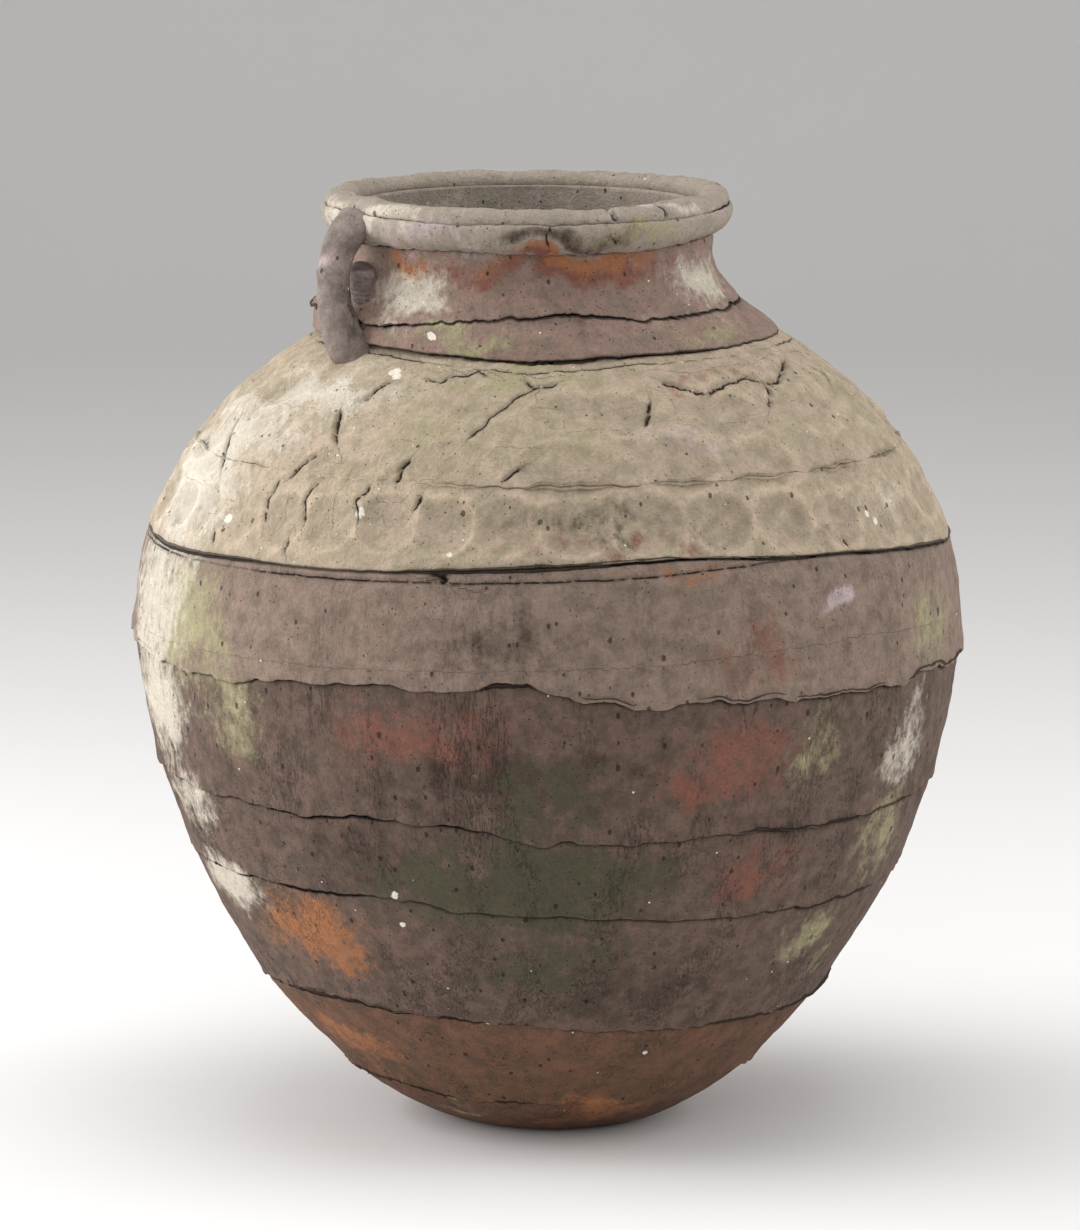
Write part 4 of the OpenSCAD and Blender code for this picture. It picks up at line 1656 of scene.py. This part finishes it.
    def stump(self) -> bpy.types.Object:
        """Stump: a ribbed lump that leans along the neck, rounded at its top."""
        neck, plan = self.neck, self.plan
        span = plan.spans["lug_stump"]
        share = np.linspace(0.0, 1.0, 60)
        z = span.foot - 1.0 + (span.top + 1.0 - span.foot) * share
        azimuth = np.radians(self.stump_azimuth + 5.0 * (1.0 - share))
        reach = neck.neck_r + self.stump_out - self.stump_d / 2.0 + 1.0 + 3.0 * (1.0 - share) ** 2
        out = np.stack([np.sin(azimuth), -np.cos(azimuth), np.zeros_like(azimuth)], axis=-1)
        side = np.stack([np.cos(azimuth), np.sin(azimuth), np.zeros_like(azimuth)], axis=-1)
        path = out * reach[:, None]
        path[:, 0] += neck.axis_x
        path[:, 2] = z
        crown = np.sqrt(np.clip(1.0 - (np.clip(share - 0.78, 0.0, 1.0) / 0.225) ** 2, 0.02, 1.0))
        base = np.sqrt(np.clip(1.0 - (np.clip(0.06 - share, 0.0, 1.0) / 0.062) ** 2, 0.02, 1.0))
        ribs = 0.35 * np.sin(share * 2.0 * math.pi * 9.0) * crown
        half = (self.stump_d / 2.0) * (0.82 + 0.3 * np.sin(math.pi * np.clip(1.0 - share, 0.0, 1.0) ** 0.8))
        half_side = half * crown * base + ribs
        half_out = half * crown * base + ribs
        return self.tube(
            "lug_stump", path, side, out, half_side, half_out,
            Working(sway=0.2, lump=0.5, stroke=0.1, grit=0.25, seed=91), marks_for("lug_stump", plan), 72,
        )


def shoulder_dents(plan: JarPlan) -> tuple[list[Dent], list[Dent]]:
    """Dents of the lower row, and of the two rows above it.

    The front ones are listed one by one. The others follow at the CAD model's spacing,
    with seeded changes of place and size.
    """
    rng = np.random.default_rng(7)
    low_front = (
        (-62, 415, 36, 36, 2.4), (-52, 416, 38, 36, 2.8), (-42, 418, 40, 38, 3.2), (-33.5, 420, 40, 40, 3.6),
        (-24, 422, 44, 40, 3.8), (-15.5, 422, 42, 40, 4.2), (-6, 423, 46, 40, 4.4), (4, 423, 50, 42, 4.8),
        (15, 423, 50, 42, 4.8), (26, 422, 48, 40, 4.6), (37, 420, 46, 40, 4.4), (47.5, 416, 42, 36, 3.6),
        (57, 410, 40, 34, 3.0), (67, 406, 40, 34, 2.6),
    )
    low = [
        Dent(a, z, w, h, d, lean=-0.35 * a + 4.0, slant=0.3 if a > -20 else -0.1, sharp=0.75)
        for a, z, w, h, d in low_front
    ]
    for azimuth in np.arange(77.0, 290.0, 10.1):
        low.append(
            Dent(
                azimuth + rng.uniform(-1.2, 1.2), 412.0 + rng.uniform(-3, 6), 42.0 + rng.uniform(-5, 6),
                38.0 + rng.uniform(-4, 4), 3.6 + rng.uniform(-1.2, 1.2), lean=rng.uniform(-15, 15),
                slant=rng.uniform(-0.3, 0.3), sharp=0.75,
            )
        )
    high_front = (
        (-52, 432, 50, 44, 1.6), (-34, 452, 58, 46, 2.2), (-15, 455, 62, 44, 2.4), (3, 454, 68, 46, 3.2),
        (21.5, 456, 56, 44, 3.4), (36, 455, 56, 44, 3.0), (52, 451, 58, 44, 2.8), (70, 444, 58, 46, 2.4),
        (-56, 474, 54, 42, 1.2), (-32, 486, 56, 38, 1.4), (-13, 491, 46, 34, 1.4), (3, 487, 44, 34, 2.0),
        (13.5, 485, 44, 38, 3.2), (33, 482, 72, 42, 4.0), (56, 479, 60, 42, 3.2), (77, 474, 56, 40, 2.6),
    )
    high = [
        Dent(a, z, w, h, d, lean=-0.3 * a, slant=0.3 if a > -10 else -0.35, sharp=0.8)
        for a, z, w, h, d in high_front
    ]
    for azimuth in np.arange(89.0, 295.0, 18.0):
        for height, wide, tall, turn in ((452.0, 62.0, 44.0, 0.0), (484.0, 52.0, 38.0, 9.0)):
            high.append(
                Dent(
                    azimuth + turn + rng.uniform(-3, 3), height + rng.uniform(-5, 5),
                    wide + rng.uniform(-8, 6),
                    tall + rng.uniform(-6, 4), 2.8 + rng.uniform(-1.0, 1.0), lean=rng.uniform(-25, 25),
                    slant=rng.uniform(-0.3, 0.3), sharp=0.8,
                )
            )
    return low, high


SHOULDER_CRACKS: tuple[Crack, ...] = (
    Crack(((-27, 502), (-23.5, 501), (-21, 505), (-18, 505), (-16, 508), (-13, 505)), 1.0, 1.4),
    Crack(((-5, 503), (-3, 499.5), (0, 500), (2, 502)), 1.2, 2.0),
    Crack(((24, 502), (26, 499), (28, 497), (32, 494), (35, 494), (41, 497), (46, 498), (50, 494)), 1.3, 2.6),
    Crack(((50, 494), (54, 494), (60, 499), (65, 503)), 1.4, 2.6),
    Crack(((50, 494), (49, 488), (46, 482)), 1.6, 2.8),
    Crack(((72, 497), (75, 490), (72, 485)), 1.5, 2.4),
    Crack(((20, 490), (19.5, 484), (18, 478)), 1.6, 2.4),
    Crack(((-71, 470), (-69, 461), (-66, 452), (-63, 438)), 1.4, 2.2),
    Crack(((-42, 482), (-41, 476), (-40, 470), (-38, 463)), 1.7, 2.8),
    Crack(((-35, 499), (-37, 494), (-38, 488)), 1.2, 1.8),
    Crack(((-41, 457), (-43, 449), (-44.5, 441)), 1.6, 2.4),
    Crack(((-23, 458), (-24, 451), (-24, 444)), 1.6, 2.4),
    Crack(((-4, 457), (-6, 452), (-7, 448)), 1.0, 1.4),
    Crack(((-2, 500), (-6, 495), (-9, 488), (-12, 478), (-14, 470)), 0.9, 1.0),
    Crack(((-46, 440), (-47, 428), (-46, 414)), 1.1, 1.6),
    Crack(((-38, 442), (-39.5, 430), (-38, 414)), 1.1, 1.6),
    Crack(((-28, 442), (-30, 432), (-29, 420)), 1.0, 1.4),
    Crack(((-19.5, 438), (-20.5, 430)), 1.2, 1.6),
    Crack(((-57, 404), (-56, 397)), 1.2, 1.6),
    Crack(((-40, 406), (-39.5, 396)), 1.3, 1.8),
    Crack(((48, 404), (48, 398)), 1.6, 2.0),
    Crack(((108, 498), (112, 490), (120, 492), (126, 486)), 1.3, 2.2),
    Crack(((165, 470), (168, 458), (166, 446)), 1.4, 2.0),
    Crack(((-140, 496), (-134, 492), (-128, 497), (-120, 494)), 1.2, 1.8),
    Crack(((-100, 468), (-97, 456), (-99, 444)), 1.5, 2.2),
)


SHOULDER_PATCHES: tuple[Patch, ...] = (
    Patch(Stain.ASH, -70, 440, 150, 130, 1.0),
    Patch(Stain.ASH, -50, 490, 120, 60, 0.8),
    Patch(Stain.ASH, 62, 420, 70, 60, 0.35),
    Patch(Stain.KHAKI, -6, 505, 150, 40, 0.7),
    Patch(Stain.KHAKI, -20, 470, 110, 50, 0.5),
    Patch(Stain.KHAKI, 8, 470, 90, 60, 0.4),
    Patch(Stain.OLIVE, 8, 425, 220, 30, 0.45),
    Patch(Stain.RUST, 34, 500, 120, 22, 0.4),
    Patch(Stain.LILAC, 25, 470, 120, 60, 0.35),
    Patch(Stain.RUST, 10, 412, 200, 16, 0.4),
    Patch(Stain.UMBER, 40, 400, 160, 16, 0.35),
    Patch(Stain.OCHRE, 20, 396, 120, 12, 0.45),
    Patch(Stain.KHAKI, 75, 470, 80, 80, 0.5),
    Patch(Stain.KHAKI, 120, 460, 180, 80, 0.5),
    Patch(Stain.ASH, 170, 450, 200, 90, 0.45),
    Patch(Stain.RUST, 140, 410, 160, 30, 0.35),
    Patch(Stain.ASH, -130, 460, 200, 90, 0.7),
    Patch(Stain.LILAC, -150, 410, 160, 30, 0.35),
)


FLANK_PATCHES: tuple[Patch, ...] = (
    Patch(Stain.KHAKI, -62, 350, 120, 90, 1.0),
    Patch(Stain.ASH, -72, 350, 110, 90, 0.8),
    Patch(Stain.UMBER, -6, 350, 150, 60, 0.45),
    Patch(Stain.RUST, 30, 340, 120, 50, 0.5),
    Patch(Stain.LILAC, 42, 366, 20, 16, 1.0),
    Patch(Stain.KHAKI, 66, 345, 90, 70, 0.7),
    Patch(Stain.UMBER, 48, 356, 60, 30, 0.4),
    Patch(Stain.ASH, -72, 290, 110, 70, 1.0),
    Patch(Stain.KHAKI, -48, 294, 70, 60, 0.55),
    Patch(Stain.RUST, -18, 292, 150, 50, 0.65),
    Patch(Stain.UMBER, -6, 268, 190, 70, 0.7),
    Patch(Stain.OLIVE, 0, 262, 110, 60, 0.7),
    Patch(Stain.RUST, 26, 268, 110, 60, 0.75),
    Patch(Stain.KHAKI, 40, 276, 60, 60, 0.5),
    Patch(Stain.ASH, 62, 268, 70, 80, 0.6),
    Patch(Stain.ASH, -66, 226, 80, 40, 0.8),
    Patch(Stain.OLIVE, -4, 196, 220, 70, 1.0),
    Patch(Stain.UMBER, -28, 205, 110, 60, 0.7),
    Patch(Stain.RUST, 32, 196, 90, 60, 0.6),
    Patch(Stain.KHAKI, 62, 205, 80, 60, 0.6),
    Patch(Stain.ASH, -63, 172, 70, 40, 1.0),
    Patch(Stain.OCHRE, -44, 150, 90, 70, 0.9),
    Patch(Stain.OLIVE, 0, 136, 130, 60, 0.7),
    Patch(Stain.UMBER, 14, 120, 160, 70, 0.5),
    Patch(Stain.KHAKI, 52, 139, 70, 46, 0.95),
    Patch(Stain.OCHRE, -50, 66, 70, 60, 0.7),
    Patch(Stain.UMBER, -18, 70, 90, 40, 0.4),
    Patch(Stain.OCHRE, 16, 24, 90, 40, 0.6),
    Patch(Stain.KHAKI, -34, 24, 60, 30, 0.5),
    Patch(Stain.RUST, 34, 70, 60, 50, 0.4),
    Patch(Stain.KHAKI, 110, 340, 220, 90, 0.6),
    Patch(Stain.ASH, 150, 260, 180, 90, 0.45),
    Patch(Stain.UMBER, 175, 200, 240, 120, 0.7),
    Patch(Stain.RUST, -160, 300, 180, 90, 0.6),
    Patch(Stain.OLIVE, -130, 190, 200, 110, 0.7),
    Patch(Stain.ASH, -115, 300, 160, 110, 0.7),
    Patch(Stain.OCHRE, -150, 80, 180, 70, 0.6),
    Patch(Stain.OCHRE, 120, 90, 160, 80, 0.5),
)


NECK_PATCHES: tuple[Patch, ...] = (
    Patch(Stain.ASH, -34, 548, 70, 50, 0.8),
    Patch(Stain.OCHRE, -37, 570, 34, 22, 1.0),
    Patch(Stain.RUST, 10, 568, 180, 20, 0.8),
    Patch(Stain.OCHRE, 18, 573, 130, 12, 0.8),
    Patch(Stain.UMBER, 6, 540, 150, 34, 0.35),
    Patch(Stain.KHAKI, -20, 524, 120, 16, 0.7),
    Patch(Stain.KHAKI, 50, 530, 120, 24, 0.6),
    Patch(Stain.ASH, 66, 550, 80, 50, 0.7),
    Patch(Stain.ASH, -56, 600, 130, 30, 0.8),
    Patch(Stain.ASH, 40, 604, 120, 14, 0.6),
    Patch(Stain.LILAC, -30, 585, 110, 16, 0.6),
    Patch(Stain.UMBER, 10, 585, 150, 16, 0.7),
    Patch(Stain.KHAKI, 34, 588, 110, 18, 0.6),
    Patch(Stain.KHAKI, 130, 560, 160, 60, 0.5),
    Patch(Stain.ASH, -150, 570, 200, 60, 0.5),
)


BODY_FLECKS: tuple[Fleck, ...] = (
    Fleck(-27, 526, 3.0), Fleck(-36, 504, 4.2), Fleck(-34.5, 502, 3.0),
    Fleck(-55, 413, 3.2), Fleck(-29, 426, 3.4),
    Fleck(55, 416, 2.4), Fleck(57, 411, 2.6), Fleck(-24, 186, 2.2), Fleck(-24, 164, 2.0), Fleck(-12, 96, 1.8),
    Fleck(22, 71, 1.8), Fleck(-14, 405, 1.8), Fleck(118, 300, 2.4),
    Fleck(160, 210, 2.4), Fleck(-120, 240, 2.6),
)


def marks_for(node: str, plan: JarPlan) -> HandMarks:
    """Choose the marks that a node carries.

    Args:
        node: name of the CAD node.
        plan: shared sizes.

    Returns:
        Its dents, cracks, lines, patches and flecks.
    """
    low, high = shoulder_dents(plan)
    band = plan.joints["shoulder_lower_course"]
    band_low = Joint(
        band.height - 8.0,
        (
            (-68, -3), (-58, -2), (-36, -1), (-15, 1), (2, 3), (16, 5), (34, 9), (48, 11), (70, 6),
            (120, 0), (180, 3), (-120, 0),
        ),
        ragged=0.5, seed=33,
    )
    root = plan.joints["neck_root"]
    root_line = Joint(root.height - 5.0, root.knots, ragged=0.8, seed=34)
    if node in ("shoulder_lower_course", "shoulder_upper_course"):
        lines = [ScratchedLine(root_line, 0.8, 0.7, 0.1)] if node == "shoulder_upper_course" else []
        return HandMarks(
            dents=[*low, *high], cracks=list(SHOULDER_CRACKS), lines=lines,
            bumps=[Dent(93, 461, 26, 22, 3.0, slant=0.0)],
            patches=list(SHOULDER_PATCHES), flecks=list(BODY_FLECKS),
        )
    if node == "belly_course":
        pit = Crack(((-16, 397), (-15, 393), (-14, 389)), 3.4, 4.0)
        return HandMarks(
            dents=low, cracks=[pit], lines=[ScratchedLine(band_low, 0.9, 1.0, 0.35)],
            patches=[*FLANK_PATCHES, *SHOULDER_PATCHES], flecks=list(BODY_FLECKS),
        )
    if node in ("neck_root", "neck_collar", "rim_roll", "lip_roll"):
        cracks = []
        if node == "rim_roll":
            cracks = [
                Crack(((6.5, 596), (5.5, 590), (6, 583)), 0.9, 1.2),
                Crack(((24, 588), (25.5, 583)), 1.0, 1.2),
            ]
        if node == "lip_roll":
            cracks = [
                Crack(((26, 609), (25.2, 603), (25.4, 597)), 1.0, 2.0),
                Crack(((41, 609), (42.5, 603), (41.6, 598)), 0.8, 1.2),
            ]
        return HandMarks(cracks=cracks, patches=list(NECK_PATCHES), flecks=list(BODY_FLECKS))
    if node == "lug_strap":
        return HandMarks(
            patches=[
                # The dark stripe right of the strap's middle is painted shade, on the side away from the key
                # light.
                Patch(Stain.ASH, -64, 548, 40, 80, 0.8), Patch(Stain.SOOT, -47, 540, 14, 60, 0.5),
                Patch(Stain.LILAC, -56, 570, 40, 20, 0.6),
            ],
        )
    if node == "lug_stump":
        return HandMarks(
            dents=[Dent(-52, 551, 4, 5, 2.4)], patches=[Patch(Stain.LILAC, -56, 562, 16, 10, 0.7)]
        )
    return HandMarks(patches=list(FLANK_PATCHES), flecks=list(BODY_FLECKS))


# ---------------------------------------------------------------- studio


@dataclass(frozen=True)
class SoftLight:
    """Large soft lamp aimed at the jar."""

    name: str
    place: tuple[float, float, float]
    size: tuple[float, float]
    power: float
    aim: tuple[float, float, float] = (0.0, 0.0, 0.32)

    def build(self) -> None:
        """Place the lamp."""
        lamp = bpy.data.lights.new(self.name, "AREA")
        lamp.shape = "RECTANGLE"
        lamp.size, lamp.size_y = self.size
        lamp.energy = self.power
        item = bpy.data.objects.new(self.name, lamp)
        item.location = self.place
        toward = Vector(self.aim) - Vector(self.place)
        item.rotation_euler = toward.to_track_quat("-Z", "Y").to_euler()
        bpy.context.scene.collection.objects.link(item)


@dataclass
class Studio:
    """Pale floor, soft lamps and the camera."""

    distance: float = 4.928
    elevation: float = 9.56
    middle_z: float = 0.298
    aim_left: float = 0.0052
    aim_up: float = 0.0297
    focal_px: float = 7574.4
    frame_px: float = 1230.0
    sensor: float = 36.0

    def build(self) -> None:
        """Set up everything that isn't part of the jar."""
        scene = bpy.context.scene
        scene.view_settings.view_transform = "Standard"
        self.floor()
        self.world()
        for lamp in (
            SoftLight("left_softbox", (-2.3, 0.1, 1.1), (1.8, 2.2), 62.0),
            SoftLight("right_softbox", (2.3, 0.3, 1.0), (1.6, 2.0), 30.0),
            SoftLight("overhead_softbox", (0.0, -0.3, 2.6), (2.0, 2.0), 26.0),
            SoftLight("front_fill", (-0.6, -3.4, 1.4), (2.4, 2.0), 20.0),
        ):
            lamp.build()
        self.camera()

    def floor(self) -> None:
        """Floor that curves up into a backdrop far behind the jar."""
        across = np.linspace(-6.0, 6.0, 9)
        turn = np.linspace(0.0, math.pi / 2.0, 14)
        bend_y, bend_r = 4.0, 2.5
        flat = np.linspace(-7.0, bend_y, 8)[:-1]
        run = np.concatenate([flat, bend_y + bend_r * np.sin(turn), [bend_y + bend_r]])
        rise = np.concatenate([np.zeros(7), bend_r * (1.0 - np.cos(turn)), [7.0]])
        x, y = np.meshgrid(across, run)
        z = np.broadcast_to(rise[:, None], x.shape)
        points = np.stack([x, y, z], axis=-1).reshape(-1, 3)
        index = np.arange(x.size).reshape(x.shape)
        faces = np.stack([index[:-1, :-1], index[:-1, 1:], index[1:, 1:], index[1:, :-1]], axis=-1)
        mesh = bpy.data.meshes.new("studio_floor")
        mesh.from_pydata(points.tolist(), [], faces.reshape(-1, 4).tolist())
        mesh.polygons.foreach_set("use_smooth", np.ones(len(mesh.polygons), bool))
        floor = bpy.data.objects.new("studio_floor", mesh)
        bpy.context.scene.collection.objects.link(floor)
        material = bpy.data.materials.new("floor_paper")
        material.use_nodes = True
        shader = material.node_tree.nodes["Principled BSDF"]
        wire = Wiring(material.node_tree)
        place = wire.add("ShaderNodeTexCoord").outputs["Object"]
        paper = wire.mix(wire.noise(place, 3.0, 2.0), tone(238, 237, 236), tone(241, 240, 239))
        wire.feed(shader.inputs["Base Color"], paper)
        shader.inputs["Roughness"].default_value = 0.9
        shader.inputs["Specular IOR Level"].default_value = 0.1
        mesh.materials.append(material)

    def world(self) -> None:
        """Even pale surroundings."""
        world = bpy.data.worlds.new("studio_world")
        bpy.context.scene.world = world
        world.use_nodes = True
        back = world.node_tree.nodes["Background"]
        back.inputs["Color"].default_value = (1.0, 0.995, 0.985, 1.0)
        back.inputs["Strength"].default_value = 0.42

    def camera(self) -> None:
        """Camera at the photograph's angle and distance."""
        lens = bpy.data.cameras.new("jar_camera")
        lens.sensor_fit = "AUTO"
        lens.sensor_width = self.sensor
        lens.lens = self.focal_px / self.frame_px * self.sensor
        lens.clip_end = 50.0
        camera = bpy.data.objects.new("jar_camera", lens)
        tilt = math.radians(self.elevation)
        back = -self.distance * math.cos(tilt)
        up = self.middle_z + self.distance * math.sin(tilt)
        camera.location = (0.0, back, up)
        aim = Vector((-self.aim_left, 0.0, self.middle_z + self.aim_up))
        camera.rotation_euler = (aim - camera.location).to_track_quat("-Z", "Y").to_euler()
        bpy.context.scene.collection.objects.link(camera)
        bpy.context.scene.camera = camera


def main() -> None:
    """Build the jar piece by piece, dress it, and set up the studio."""
    logging.basicConfig(level=logging.INFO, format="%(name)s: %(message)s")
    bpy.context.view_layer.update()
    Studio().build()
    groups = ClayGroups()
    materials = {slot: finish.material(groups) for slot, finish in FINISHES.items()}
    plan = JarPlan(frame_sizes())
    body = Body(plan)
    neck = Neck(plan)
    lug = Lug(plan, neck)
    slots = {
        "base_bowl": "foot_clay", **dict(zip(body.names, body.slots)),
        "neck_root": "neck_clay", "neck_collar": "neck_clay", "rim_roll": "rim_clay",
        "lip_roll": "rim_clay", "lug_strap": "lug_clay", "lug_stump": "lug_clay",
    }
    for piece in [*body.build(), *neck.build(), *lug.build()]:
        node = piece.name.removesuffix("_clay")
        piece.data.materials.append(materials[slots[node]])


if __name__ == "__main__":
    main()
